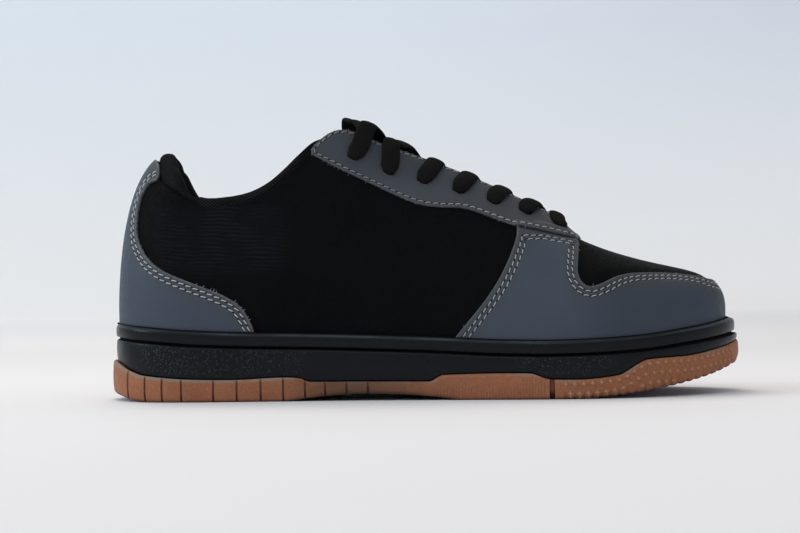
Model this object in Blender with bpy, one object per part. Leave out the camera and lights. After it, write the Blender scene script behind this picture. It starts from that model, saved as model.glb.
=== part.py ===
"""A low-top cupsole sneaker, right shoe, as the separate pieces that a shoemaker joins.

Frame: metres, +X towards the toe, -Y the outer (lateral) side, +Z up. The floor is Z = 0 and the
origin lies under the middle of the shoe's box. All functions work in millimetres with X measured
from the back of the heel, and the meshes are shifted and scaled when they are made.
"""

import math
from collections import namedtuple

import bmesh
import bpy
import numpy as np

# Driving sizes, in millimetres
LENGTH = 270.0
BALL_WIDTH = 98.0
INSTEP_HEIGHT = 114.4
HEEL_HEIGHT = 105.6

# The sample size that the tables below are drawn in
SAMPLE_LENGTH = 270.0
SAMPLE_BALL_WIDTH = 98.0
SAMPLE_INSTEP_HEIGHT = 114.4
SAMPLE_HEEL_HEIGHT = 105.6

# Walls, gaps and layers
WALL = 2.2
OVERLAY_THICKNESS = 1.3
GAP = 0.3
TUCK_IN = 1.2
PAD_START, PAD_FULL = 0.35, 0.9
CREASE_ANGLE = 40.0

# Footbed
INSOLE_THICKNESS = 4.5
INSOLE_CLEAR = 0.4
INSOLE_BEVEL = 1.0
INSOLE_TOP_INSET = 1.5

# Sidewall of the sole, as distances out from the upper
GUM_STEP = 1.7
WALL_STEP = 0.8
RIM_HEIGHT = 6.5
SEAM_DEPTH = 1.3
SEAM_WIDTH = 1.0
EDGE_BEVEL = 0.9
CUP_CLEAR = 0.35

# Where cup and outsole meet, away from the sole's edge: inset from the upper, height over the tread
CORE_INSET = 7.0
CORE_RISE = 5.0

# Edge of the outsole in section: insets from its widest line and heights
GUM_TOP_INSET = 1.2
GUM_SHOULDER_INSET, GUM_SHOULDER_DROP = 0.3, 0.7
GUM_WIDEST_HEIGHT = 3.4
GUM_TURN_INSET, GUM_TURN_HEIGHT = 0.9, 1.3
GUM_TREAD_INSET = 3.2

# Mesh density
HALF_STATIONS = 32
WALL_ROWS = 8
WALL_ROW_BIAS = 1.15
INNER_ROWS = 6
INNER_ROW_BIAS = 1.5
ROLL_POINTS = 3

# One row for each section of the last, from the back of the heel to the tip of the toe.
# foot: where the upper meets the sole's rim. edge: the collar or throat edge above it.
# rise, lean: the wall's upright start. reach, dip: how the wall comes in to the edge.
# pad, roll: thickness and height of the collar's roll. welt: how far the sole's rim stands out.
Section = namedtuple(
    "Section", "name foot_x lateral medial edge_x edge_y edge_z rise lean reach dip pad roll welt"
)
SECTIONS = [
    Section("heel back", 4.3, 0.0, 0.0, 20.2, 0.0, 102.4, 30.0, 0.8, 11.0, 9.0, 9.4, 7.8, 2.6),
    Section("heel corner", 12.5, 22.3, 21.8, 23.6, 12.0, 98.8, 29.0, 1.5, 6.5, 14.0, 9.0, 6.2, 2.6),
    Section("heel side", 30.0, 31.0, 30.2, 31.2, 21.0, 91.2, 26.0, 2.5, 3.0, 20.0, 8.4, 4.6, 2.8),
    Section("collar back", 42.0, 32.4, 30.8, 41.4, 24.2, 81.9, 23.0, 3.0, 2.6, 18.0, 7.6, 3.8, 2.9),
    Section("collar low", 54.0, 32.8, 30.4, 53.0, 25.7, 82.3, 22.0, 3.0, 2.5, 18.0, 7.2, 3.6, 2.9),
    Section("collar rise", 70.0, 33.3, 29.4, 69.0, 25.4, 88.6, 26.0, 2.0, 3.0, 18.0, 6.2, 3.1, 3.0),
    Section("eyestay back", 86.0, 34.0, 28.6, 85.5, 22.4, 103.4, 32.0, 1.0, 5.0, 20.0, 4.0, 2.0, 3.0),
    Section("eyestay top", 101.0, 35.0, 28.9, 99.5, 17.2, 113.4, 34.0, 1.0, 10.0, 16.0, 2.4, 1.2, 3.0),
    Section("throat top", 113.0, 36.2, 29.9, 113.0, 15.6, 109.0, 33.0, 1.2, 11.0, 14.5, 2.3, 1.1, 3.0),
    Section("instep", 127.0, 37.8, 31.6, 127.0, 14.5, 103.6, 32.0, 1.5, 12.0, 13.0, 2.2, 1.1, 3.0),
    Section("joint", 160.0, 42.5, 38.4, 160.0, 12.5, 90.3, 29.0, 2.5, 15.0, 10.0, 2.2, 1.1, 3.0),
    Section("ball", 187.0, 45.8, 43.0, 187.0, 9.0, 77.3, 27.0, 2.5, 17.0, 7.0, 2.2, 1.1, 3.1),
    Section("toe side", 222.0, 42.0, 43.0, 193.8, 6.9, 71.8, 21.0, 2.0, 26.0, 14.0, 2.2, 1.1, 3.5),
    Section("toe corner", 248.0, 27.2, 31.2, 196.3, 3.6, 68.6, 23.0, 2.2, 34.0, 17.5, 2.2, 1.1, 4.4),
    Section("toe tip", 263.2, -3.0, 3.0, 197.0, 0.0, 67.6, 26.0, 2.6, 41.0, 20.0, 2.2, 1.1, 5.1),
]

# Lines along the sole's side, as (x, height) in the sample size
SEAM_LINE = [
    (0, 27.1), (15, 25.5), (40, 23.4), (62, 22.5), (83, 22.0), (110, 21.1), (141, 19.8),
    (166, 18.5), (186, 18.1), (207, 18.6), (224, 19.7), (241, 21.9), (255, 24.0), (270, 27.2),
]
GUM_LINE = [
    (0, 15.4), (7, 13.0), (18, 10.9), (40, 9.4), (53, 9.2), (76, 10.0), (81.5, 9.7), (86.5, 8.1),
    (109, 8.0), (136, 7.8), (142, 10.4), (165, 10.9), (177, 10.8), (186, 8.2), (196, 8.0),
    (212, 9.4), (225, 15.8), (241, 16.6), (258, 19.5), (270, 21.2),
]
TREAD_LINE = [
    (0, 5.0), (8, 2.2), (15, 0.5), (21, 0.0), (72, 0.0), (95, 1.9), (109, 2.4), (125, 2.1),
    (140, 1.0), (151, 0.0), (197, 0.0), (206, 0.6), (219, 1.9), (232, 4.0), (246, 7.0),
    (258, 10.2), (270, 14.0),
]
FLOOR_LINE = [(0, 17.0), (60, 15.0), (130, 12.0), (190, 10.6), (225, 13.0), (270, 20.5)]

# Cuts in the side of the outsole: the heel's blocks and the slot behind the ball
GUM_STEP_X = 84.0
BLOCK_CUTS = (6.5, 15.0, 23.0, 31.5, 45.0, 55.0, 65.0, 75.0, 84.0, 92.5, 101.0)
BLOCK_CUT_WIDTH, BLOCK_CUT_DEPTH = 1.1, 1.2
SLOT_X, SLOT_WIDTH, SLOT_DEPTH = 187.0, 1.9, 2.6

# Outlines of the overlays in the side view, as (x, height), smoothed by a curve through them
COUNTER_EDGE = [
    (21.2, 108.0), (22.4, 95.0), (18.2, 92.2), (15.1, 87.6), (13.4, 80.3), (13.2, 71.7),
    (15.1, 65.3), (19.3, 59.3), (25.4, 54.8), (34.1, 50.9), (42.6, 47.6), (51.0, 44.0),
    (57.5, 39.5), (61.2, 33.6), (63.0, 29.0), (64.5, 22.0),
]
WING_EDGE = [
    (142.0, 18.0), (146.9, 25.9), (151.9, 32.0), (158.7, 40.2), (164.8, 48.9), (169.7, 58.4),
    (172.9, 66.8), (173.4, 70.6),
]
NOTCH_EDGE = [
    (199.4, 64.2), (198.6, 58.0), (198.0, 51.5), (199.8, 47.2), (203.0, 45.8), (207.5, 46.9),
    (213.4, 49.6), (219.0, 51.1), (226.0, 51.4), (236.0, 51.2), (247.0, 50.2), (258.0, 48.2),
    (275.0, 46.0),
]
EYESTAY_EDGE = [
    (87.4, 103.2), (95.5, 98.9), (103.8, 94.5), (116.4, 88.4), (124.8, 84.3), (133.2, 81.1),
    (141.7, 79.9), (150.1, 79.5), (156.4, 77.8), (164.8, 74.5), (173.2, 71.5), (184.0, 69.0),
    (195.0, 66.2), (202.6, 64.9),
]
OUTLINE_STEP = 4.0
OUTLINE_LOW, OUTLINE_HIGH = 10.0, 130.0
OUTLINE_BEHIND, OUTLINE_AHEAD = -20.0, 300.0

# The share of the way from heel to toe in which the throat lies
THROAT_FROM, THROAT_TO = 0.2, 0.75

# Tongue
TONGUE_THICKNESS = 4.0
TONGUE_TOP_X, TONGUE_FOOT_X = 95.0, 184.0
TONGUE_ROWS, TONGUE_HALF_COLUMNS = 12, 4
TONGUE_UNDER, TONGUE_SHOWING = 15.0, 1.5
TONGUE_CROWN = 1.2
TONGUE_CLEAR = 0.8
TONGUE_EDGE_SHARE = 0.45

# Eyelets and lace
EYELETS = 7
EYELET_FIRST_X, EYELET_PITCH = 105.5, 14.7
EYELET_INSETS = (12.6, 12.4, 11.0, 10.5, 10.0, 9.6, 9.2)
EYELET_RADIUS = 2.2
EYELET_SIDES, PUNCH_DEPTH = 6, 9.0
LACE_WIDTH, LACE_THICKNESS = 7.6, 1.9
LACE_CLEAR = 0.8
LACE_LIFTS = (3.0, 1.2, 0.0, 0.0, 0.0, 0.0)
LACE_CROWN = 0.4
LACE_FAR_SHARE, LACE_FAR_INWARD = 0.36, 0.2
LACE_STAND = GAP + OVERLAY_THICKNESS + LACE_CLEAR + LACE_THICKNESS / 2
LACE_STEPS = 2
BAR_LIFT = 0.6

# Finishes, with linear colours
Finish = namedtuple("Finish", "name colour roughness")
BLACK_LEATHER = Finish("black leather", (0.012, 0.012, 0.014), 0.6)
GREY_LEATHER = Finish("grey leather", (0.075, 0.085, 0.105), 0.5)
BLACK_RUBBER = Finish("black rubber", (0.016, 0.019, 0.023), 0.55)
GUM_RUBBER = Finish("gum rubber", (0.33, 0.13, 0.065), 0.6)
BLACK_TEXTILE = Finish("black textile", (0.01, 0.01, 0.011), 0.9)


def graded_x(x):
    return x * LENGTH / SAMPLE_LENGTH


def graded_y(y):
    return y * BALL_WIDTH / SAMPLE_BALL_WIDTH


def graded_edge_z(x, z):
    """Collar and throat heights follow the heel at the back and the instep further on."""
    heel, instep = HEEL_HEIGHT / SAMPLE_HEEL_HEIGHT, INSTEP_HEIGHT / SAMPLE_INSTEP_HEIGHT
    return z * np.interp(x, [20.0, 100.0], [heel, instep])


def smooth_line(rows):
    """A height along the shoe that passes through the rows and never overshoots between them."""
    xs = np.array([graded_x(x) for x, _ in rows])
    zs = np.array([z for _, z in rows])
    slopes = np.diff(zs) / np.diff(xs)
    tangents = np.zeros(len(xs))
    for i in range(1, len(xs) - 1):
        if slopes[i - 1] * slopes[i] > 0:
            tangents[i] = 2 * slopes[i - 1] * slopes[i] / (slopes[i - 1] + slopes[i])
    tangents[0], tangents[-1] = slopes[0], slopes[-1]

    def height(x):
        x = np.clip(x, xs[0], xs[-1])
        i = np.clip(np.searchsorted(xs, x) - 1, 0, len(xs) - 2)
        span = xs[i + 1] - xs[i]
        u = (x - xs[i]) / span
        start = (1 + 2 * u) * (1 - u) ** 2 * zs[i] + u * (1 - u) ** 2 * span * tangents[i]
        end = u * u * (3 - 2 * u) * zs[i + 1] + u * u * (u - 1) * span * tangents[i + 1]
        return start + end

    return height


seam_height = smooth_line(SEAM_LINE)
gum_height = smooth_line(GUM_LINE)
tread_height = smooth_line(TREAD_LINE)
floor_height = smooth_line(FLOOR_LINE)


def rim_height(x):
    return seam_height(x) + RIM_HEIGHT


def closed_curve(knots, values, period):
    """A smooth closed curve through the values, which meets itself after one period."""
    count = len(knots)
    steps = np.diff(np.append(knots, knots[0] + period))
    system, right = np.zeros((count, count)), np.zeros((count, values.shape[1]))
    for i in range(count):
        before, after = steps[i - 1], steps[i]
        system[i, i - 1] += before
        system[i, i] += 2 * (before + after)
        system[i, (i + 1) % count] += after
        rise_after = (values[(i + 1) % count] - values[i]) / after
        rise_before = (values[i] - values[i - 1]) / before
        right[i] = 6 * (rise_after - rise_before)
    bends = np.linalg.solve(system, right)

    def at(s):
        s = np.mod(s, period)
        i = np.clip(np.searchsorted(knots, s, side="right") - 1, 0, count - 1)
        j = (i + 1) % count
        span = steps[i]
        b = (s - knots[i]) / span
        a = 1 - b
        a, b, span = a[:, None], b[:, None], span[:, None]
        bend = ((a**3 - a) * bends[i] + (b**3 - b) * bends[j]) * span**2 / 6
        return a * values[i] + b * values[j] + bend

    return at


def last_curves():
    """The section table as closed curves around the shoe: outer side first, then the inner side."""
    rows = []
    for side in (-1, 1):
        ordered = SECTIONS if side < 0 else SECTIONS[-2:0:-1]
        for r in ordered:
            foot_y = -r.lateral if side < 0 else r.medial
            edge_z = graded_edge_z(r.edge_x, r.edge_z)
            rows.append([
                graded_x(r.foot_x), graded_y(foot_y), graded_x(r.edge_x), graded_y(side * r.edge_y),
                edge_z, r.rise, r.lean, r.reach, r.dip, r.pad, r.roll, r.welt,
            ])
    rows = np.array(rows)
    count = len(SECTIONS)
    lateral, medial = rows[:count, :2], np.vstack([rows[0, :2], rows[:count - 2:-1, :2]])
    chords = [np.linalg.norm(np.diff(side, axis=0), axis=1) for side in (lateral, medial)]
    half_knots = np.concatenate([[0.0], np.cumsum((chords[0] + chords[1]) / 2)])
    half = half_knots[-1]
    knots = np.concatenate([half_knots, 2 * half - half_knots[-2:0:-1]])
    return closed_curve(knots, rows, 2 * half), half


LAST, HALF = last_curves()


def station_at(foot_x):
    """The station on the outer side whose foot lies at x."""
    fine = np.linspace(0, HALF, 4000)
    return np.interp(graded_x(foot_x), LAST(fine)[:, 0], fine)


def shared_stations():
    """Even steps all the way round, and one more on each side where the gum's edge steps down."""
    even = np.linspace(0, 2 * HALF, 2 * HALF_STATIONS, endpoint=False)
    step = station_at(GUM_STEP_X)
    return np.sort(np.concatenate([even, [step, 2 * HALF - step]]))


EVEN_STATIONS = shared_stations()
WALL_HEIGHTS = np.linspace(0, 1, WALL_ROWS) ** WALL_ROW_BIAS


class Sections:
    """The last at an array of stations s: from the heel, along the outer side, round the toe and back."""

    def __init__(self, s):
        self.s = np.asarray(s, float)
        c = LAST(self.s)
        ahead, behind = LAST(self.s + 0.5)[:, :2], LAST(self.s - 0.5)[:, :2]
        along = ahead - behind
        along /= np.linalg.norm(along, axis=1)[:, None]
        self.foot = c[:, :2]
        self.foot_z = rim_height(c[:, 0])
        self.normal = np.column_stack([along[:, 1], -along[:, 0]])
        self.edge, self.edge_z = c[:, 2:4], c[:, 4]
        across = self.foot - self.edge
        self.out = across / np.linalg.norm(across, axis=1)[:, None]
        self.span = np.linalg.norm(across, axis=1)
        self.rise, self.lean, self.reach, self.dip, self.pad, self.roll, self.welt = c[:, 5:12].T

    def wall(self, h, offset=0.0):
        """The wall at heights h, from 0 at the rim to 1 at the edge, moved out by offset.

        Each section is a cubic Bezier curve in its own upright plane. Gives (stations, heights, 3).
        """
        h = np.asarray(h, float)[None, :]
        out_controls = np.stack([self.span, self.span + self.lean, self.reach, 0 * self.span])
        up_controls = np.stack([
            self.foot_z, self.foot_z + self.rise, self.edge_z - self.dip, self.edge_z,
        ])
        weights = np.stack([(1 - h) ** 3, 3 * h * (1 - h) ** 2, 3 * h * h * (1 - h), h**3])
        slope_weights = np.stack([(1 - h) ** 2, 2 * h * (1 - h), h * h])
        out = (weights * out_controls[:, :, None]).sum(axis=0)
        up = (weights * up_controls[:, :, None]).sum(axis=0)
        slope_out = (slope_weights * np.diff(out_controls, axis=0)[:, :, None]).sum(axis=0)
        slope_up = (slope_weights * np.diff(up_controls, axis=0)[:, :, None]).sum(axis=0)
        length = np.hypot(slope_out, slope_up)
        out = out + offset * slope_up / length
        up = up - offset * slope_out / length
        return self.lifted(out, up)

    def lifted(self, out, up):
        """Points from distances out from the edge and heights, in each section's own upright plane."""
        plan = self.edge[:, None, :] + out[..., None] * self.out[:, None, :]
        return np.concatenate([plan, up[..., None]], axis=2)

    def around(self, distance, height):
        """Points beside the foot line, a distance out along its normal: (stations, 3)."""
        plan = self.foot + self.normal * np.broadcast_to(distance, self.s.shape)[:, None]
        return np.column_stack([plan, np.broadcast_to(height, self.s.shape)])

    def thickness(self, h):
        """The wall is thin at the sole and swells into the collar's roll."""
        t = np.clip((np.asarray(h) - PAD_START) / (PAD_FULL - PAD_START), 0, 1)
        swell = t * t * (3 - 2 * t)
        return WALL + (self.pad - WALL)[:, None] * swell[None, :]


def sole_box_middle():
    """The middle of the outsole's box in plan, which the origin lies under."""
    around = Sections(np.linspace(0, 2 * HALF, 720, endpoint=False))
    outline = around.around(around.welt + GUM_STEP, 0.0)[:, :2]
    return (outline.min(0) + outline.max(0)) / 2


MIDDLE = sole_box_middle()


def material(piece, finish):
    """A material of the piece's own in one of the finishes."""
    made = bpy.data.materials.new(f"{piece} {finish.name}")
    made.use_nodes = True
    shader = made.node_tree.nodes["Principled BSDF"]
    shader.inputs["Base Color"].default_value = (*finish.colour, 1)
    shader.inputs["Roughness"].default_value = finish.roughness
    shader.inputs["Metallic"].default_value = 0.0
    return made


def mesh_object(name, points, faces, finish=None):
    """A named object from points in millimetres, with its faces turned outwards. A cutter has no finish."""
    points = (np.asarray(points, float) - [MIDDLE[0], MIDDLE[1], 0.0]) / 1000
    mesh = bpy.data.meshes.new(name)
    mesh.from_pydata(points.tolist(), [], [list(map(int, f)) for f in faces])
    sheet = bmesh.new()
    sheet.from_mesh(mesh)
    bmesh.ops.remove_doubles(sheet, verts=sheet.verts, dist=1e-6)
    bmesh.ops.recalc_face_normals(sheet, faces=sheet.faces)
    sheet.to_mesh(mesh)
    sheet.free()
    mesh.shade_smooth()
    mesh.set_sharp_from_angle(angle=math.radians(CREASE_ANGLE))
    if finish is not None:
        mesh.materials.append(material(name, finish))
    made = bpy.data.objects.new(name, mesh)
    bpy.context.scene.collection.objects.link(made)
    return made


def ring_faces(stations, per_loop, closed_loop):
    """Pairs of triangles between neighbouring stations, each of which holds one loop of points."""
    faces = []
    steps = per_loop if closed_loop else per_loop - 1
    for i in range(stations):
        j = (i + 1) % stations
        for k in range(steps):
            n = (k + 1) % per_loop
            corners = (i * per_loop + k, j * per_loop + k, j * per_loop + n, i * per_loop + n)
            faces.append((corners[0], corners[1], corners[2]))
            faces.append((corners[0], corners[2], corners[3]))
    return faces


def ladder_faces(stations, per_loop, row, flip):
    """Faces that close the loop of one profile row, from each station to its partner on the other side."""
    faces = []
    half = stations // 2
    for i in range(half):
        left, left_next = i, i + 1
        right, right_next = -i % stations, -(i + 1) % stations
        corners = [left, left_next, right_next, right]
        corners = [c * per_loop + row for c in dict.fromkeys(corners)]
        faces.append(corners[::-1] if flip else corners)
    return faces


def plate(name, profile, finish):
    """A solid from a profile at each station: the first and last rows are closed across the shoe."""
    stations, per_loop = profile.shape[:2]
    faces = ring_faces(stations, per_loop, False)
    faces += ladder_faces(stations, per_loop, 0, False)
    faces += ladder_faces(stations, per_loop, per_loop - 1, True)
    return mesh_object(name, profile.reshape(-1, 3), faces, finish)


def make_upper(finish):
    """The hollow upper: an outer wall, the collar's roll and an inner wall, open above and below."""
    around = Sections(EVEN_STATIONS)
    h = 1 - (1 - np.linspace(0, 1, INNER_ROWS)) ** INNER_ROW_BIAS
    bottom = floor_height(around.foot[:, 0]) + GAP
    outer = around.wall(WALL_HEIGHTS)
    inner = around.wall(h, -around.thickness(h))
    middle = (outer[:, -1] + inner[:, -1]) / 2
    side = (outer[:, -1] - inner[:, -1]) / 2
    top = outer[:, -1] - outer[:, -2]
    top *= (around.roll / np.linalg.norm(top, axis=1))[:, None]
    turns = np.linspace(0, math.pi, ROLL_POINTS + 2)[1:-1]
    roll = np.stack([middle + side * math.cos(t) + top * math.sin(t) for t in turns], axis=1)
    foot_outer = around.around(-TUCK_IN, bottom)[:, None]
    foot_inner = around.around(-TUCK_IN - WALL, bottom)[:, None]
    loops = np.concatenate([foot_outer, outer, roll, inner[:, ::-1], foot_inner], axis=1)
    return mesh_object("upper", loops.reshape(-1, 3), ring_faces(*loops.shape[:2], True), finish)


def overlay_layer(name, finish):
    """A larger form that lies over the whole upper, from which an overlay is cut."""
    around = Sections(EVEN_STATIONS)
    near, far = (around.wall(WALL_HEIGHTS, out) for out in (GAP, GAP + OVERLAY_THICKNESS))
    for layer in (near, far):
        layer[:, 0, 2] = around.foot_z + GAP
    loops = np.concatenate([near, far[:, ::-1]], axis=1)
    return mesh_object(name, loops.reshape(-1, 3), ring_faces(*loops.shape[:2], True), finish)


def curve_through(knots, steps):
    """Points of a smooth open curve through the knots, with a number of steps for each span."""
    knots = np.array(knots, float)
    padded = np.vstack([2 * knots[0] - knots[1], knots, 2 * knots[-1] - knots[-2]])
    made = [knots[0]]
    for i, count in enumerate(steps):
        p0, p1, p2, p3 = padded[i:i + 4]
        for u in np.arange(1, count + 1) / count:
            made.append(0.5 * (
                2 * p1 + (p2 - p0) * u + (2 * p0 - 5 * p1 + 4 * p2 - p3) * u**2
                + (3 * p1 - p0 - 3 * p2 + p3) * u**3
            ))
    return made


def smooth_outline(rows):
    """An outline's rows as a curve with a point about every few millimetres."""
    lengths = np.linalg.norm(np.diff(np.array(rows, float), axis=0), axis=1)
    return curve_through(rows, [max(1, round(length / OUTLINE_STEP)) for length in lengths])


def outline_cutter(name, outline):
    """An outline in the side view, carried right across the shoe."""
    wide = BALL_WIDTH
    points = [(graded_x(x), y, z) for y in (-wide, wide) for x, z in outline]
    count = len(outline)
    faces = [tuple(range(count)), tuple(range(2 * count - 1, count - 1, -1))]
    faces += [(k, count + k, count + (k + 1) % count, (k + 1) % count) for k in range(count)]
    return as_cutter(mesh_object(name, points, faces))


def as_cutter(helper):
    helper.hide_render = True
    helper.display_type = "WIRE"
    return helper


def boolean(piece, operation, cutter):
    made = piece.modifiers.new(operation.lower() + "_" + cutter.name, "BOOLEAN")
    made.operation = operation
    made.object = cutter
    made.solver = "EXACT"


def make_overlay(name, outline, finish):
    piece = overlay_layer(name, finish)
    boolean(piece, "INTERSECT", outline_cutter(name + "_outline", outline))
    return piece


def counter_outline():
    (top_x, _), (foot_x, _) = COUNTER_EDGE[0], COUNTER_EDGE[-1]
    behind = [(foot_x, OUTLINE_LOW), (OUTLINE_BEHIND, OUTLINE_LOW), (OUTLINE_BEHIND, OUTLINE_HIGH)]
    return smooth_outline(COUNTER_EDGE) + behind + [(top_x, OUTLINE_HIGH)]


def toe_outline():
    """The toe overlay's wing stops just under the eyestay's edge."""
    wing_x, notch_x = WING_EDGE[-1][0], NOTCH_EDGE[0][0]
    foot_x, notch_z = WING_EDGE[0][0], NOTCH_EDGE[-1][1]
    under_eyestay = [(x, z - 2 * GAP) for x, z in EYESTAY_EDGE if wing_x + 1 < x < notch_x]
    edge = smooth_outline(WING_EDGE) + under_eyestay + smooth_outline(NOTCH_EDGE)
    return edge + [(OUTLINE_AHEAD, notch_z), (OUTLINE_AHEAD, OUTLINE_LOW), (foot_x, OUTLINE_LOW)]


def eyestay_outline():
    (top_x, _), (front_x, _) = EYESTAY_EDGE[0], EYESTAY_EDGE[-1]
    return smooth_outline(EYESTAY_EDGE) + [(front_x, OUTLINE_HIGH), (top_x, OUTLINE_HIGH)]


def eyelet_points(side):
    """Each eyelet of the outer side (-1) or inner side (1): its point, outward normal and throat edge."""
    fine = Sections(np.linspace(THROAT_FROM * HALF, THROAT_TO * HALF, 600))
    h = np.linspace(0.6, 1, 120)
    surface = fine.wall(h)
    lengths = np.linalg.norm(np.diff(surface, axis=1), axis=2)[:, ::-1].cumsum(axis=1)[:, ::-1]
    found = []
    for i in range(EYELETS):
        row = np.abs(lengths - EYELET_INSETS[i]).argmin(axis=1)
        line = surface[np.arange(len(row)), row]
        k = np.abs(line[:, 0] - graded_x(EYELET_FIRST_X + i * EYELET_PITCH)).argmin()
        s = fine.s[k] if side < 0 else 2 * HALF - fine.s[k]
        here = Sections([s])
        point = here.wall(h[row[k]:row[k] + 1])[0, 0]
        normal = here.wall(h[row[k]:row[k] + 1], 1.0)[0, 0] - point
        edge = here.wall([1.0], GAP + OVERLAY_THICKNESS)[0, 0]
        found.append((point, normal, edge))
    return found


def eyelet_cutter():
    """Fourteen punches, two rows along the throat."""
    sides = EYELET_SIDES
    points, faces = [], []
    for side in (-1, 1):
        for point, normal, _ in eyelet_points(side):
            first = np.cross(normal, [0, 0, 1.0])
            first /= np.linalg.norm(first)
            second = np.cross(normal, first)
            start = len(points)
            for end in (-PUNCH_DEPTH, PUNCH_DEPTH):
                for k in range(sides):
                    turn = 2 * math.pi * k / sides
                    ring = first * math.cos(turn) + second * math.sin(turn)
                    points.append(point + normal * end + ring * EYELET_RADIUS)
            faces.append([start + k for k in range(sides)])
            faces.append([start + sides + k for k in reversed(range(sides))])
            for k in range(sides):
                n = (k + 1) % sides
                faces.append([start + k, start + sides + k, start + sides + n, start + n])
    return as_cutter(mesh_object("eyelet_punches", points, faces))


def core_height(x):
    """The meeting plane of cup and outsole, away from the sole's edge."""
    return tread_height(x) + CORE_RISE


def make_cupsole(finish):
    """The black cup: a rounded rim, a seam under it, the sidewall, and a floor that the upper stands on."""
    around = Sections(EVEN_STATIONS)
    x = around.foot[:, 0]
    rim_out, wall_out = around.welt, around.welt + WALL_STEP
    rim, seam, gum = rim_height(x), seam_height(x), gum_height(x)
    rows = [
        (-CORE_INSET, core_height(x) + GAP),
        (wall_out - EDGE_BEVEL, gum + GAP),
        (wall_out, gum + GAP + EDGE_BEVEL),
        (wall_out, seam - SEAM_WIDTH),
        (wall_out - SEAM_DEPTH, seam - SEAM_WIDTH / 2),
        (wall_out - SEAM_DEPTH, seam + SEAM_WIDTH / 2),
        (rim_out, seam + SEAM_WIDTH),
        (rim_out, rim - 2 * EDGE_BEVEL),
        (rim_out - EDGE_BEVEL, rim - EDGE_BEVEL / 3),
        (rim_out - 2 * EDGE_BEVEL, rim),
        (CUP_CLEAR, rim),
        (CUP_CLEAR - TUCK_IN, floor_height(x)),
    ]
    return plate("cupsole", np.stack([around.around(d, z) for d, z in rows], axis=1), finish)


def cut_stations():
    """Stations of the outsole and the depth of a side cut at each.

    They are the even ones and each cut's two edges and floor, which may take an even one's place.
    """
    half = EVEN_STATIONS[EVEN_STATIONS < HALF + 1e-6]
    depths = dict.fromkeys(half, 0.0)
    cuts = [(x, BLOCK_CUT_WIDTH, BLOCK_CUT_DEPTH) for x in BLOCK_CUTS]
    cuts.append((SLOT_X, SLOT_WIDTH, SLOT_DEPTH))
    for x, width, depth in cuts:
        middle = station_at(x)
        nearest = half[np.abs(half - middle).argmin()]
        if abs(nearest - middle) < width:
            middle = nearest
        depths.update({middle - width / 2: 0.0, middle: depth, middle + width / 2: 0.0})
    half_s = np.array(sorted(depths))
    half_d = np.array([depths[s] for s in half_s])
    s = np.concatenate([half_s, 2 * HALF - half_s[-2:0:-1]])
    return s, np.concatenate([half_d, half_d[-2:0:-1]])


def make_outsole(finish):
    """The gum outsole: its edge climbs the cup in steps, and cuts part the heel's edge into blocks."""
    s, depth = cut_stations()
    around = Sections(s)
    even = np.append(EVEN_STATIONS, 2 * HALF)
    even_x = LAST(even)[:, 0]
    gum = np.interp(s, even, gum_height(even_x))
    core = np.interp(s, even, core_height(even_x))
    tread = tread_height(around.foot[:, 0])
    widest = around.welt + GUM_STEP
    cut_back = widest - depth
    rows = [
        (-CORE_INSET, core),
        (widest - GUM_TOP_INSET, gum),
        (cut_back - GUM_SHOULDER_INSET, gum - GUM_SHOULDER_DROP),
        (cut_back, tread + GUM_WIDEST_HEIGHT),
        (cut_back - GUM_TURN_INSET, tread + GUM_TURN_HEIGHT),
        (cut_back - GUM_TREAD_INSET, tread),
        (-CORE_INSET, tread),
    ]
    return plate("outsole", np.stack([around.around(d, z) for d, z in rows], axis=1), finish)


def make_insole(finish):
    """The footbed, which lies on the cup's floor inside the upper."""
    around = Sections(EVEN_STATIONS)
    x = around.foot[:, 0]
    inset = TUCK_IN + WALL + INSOLE_CLEAR
    low = floor_height(x) + GAP
    rows = [
        (-inset - INSOLE_BEVEL, low),
        (-inset, low + INSOLE_BEVEL),
        (-inset, low + INSOLE_THICKNESS - INSOLE_BEVEL),
        (-inset - INSOLE_TOP_INSET, low + INSOLE_THICKNESS),
    ]
    return plate("insole", np.stack([around.around(d, z) for d, z in rows], axis=1), finish)


def tongue_arch(s):
    """Points across the tongue at one station, from under the outer eyestay to under the inner one."""
    h = np.linspace(0.55, 1, 60)
    sides = []
    for station in (s, 2 * HALF - s):
        here = Sections([station])
        inside = here.wall(h, -here.thickness(h) - TONGUE_CLEAR)[0]
        down = np.linalg.norm(np.diff(inside, axis=0), axis=1)[::-1].cumsum()[::-1]
        wanted = np.linspace(TONGUE_UNDER, TONGUE_SHOWING, TONGUE_HALF_COLUMNS)
        sides.append([inside[np.abs(down - w).argmin()] for w in wanted])
    left, right = sides[0], sides[1][::-1]
    crown = (left[-1] + right[0]) / 2 + [0, 0, TONGUE_CROWN]
    return np.array(left + [crown] + right)


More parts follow.
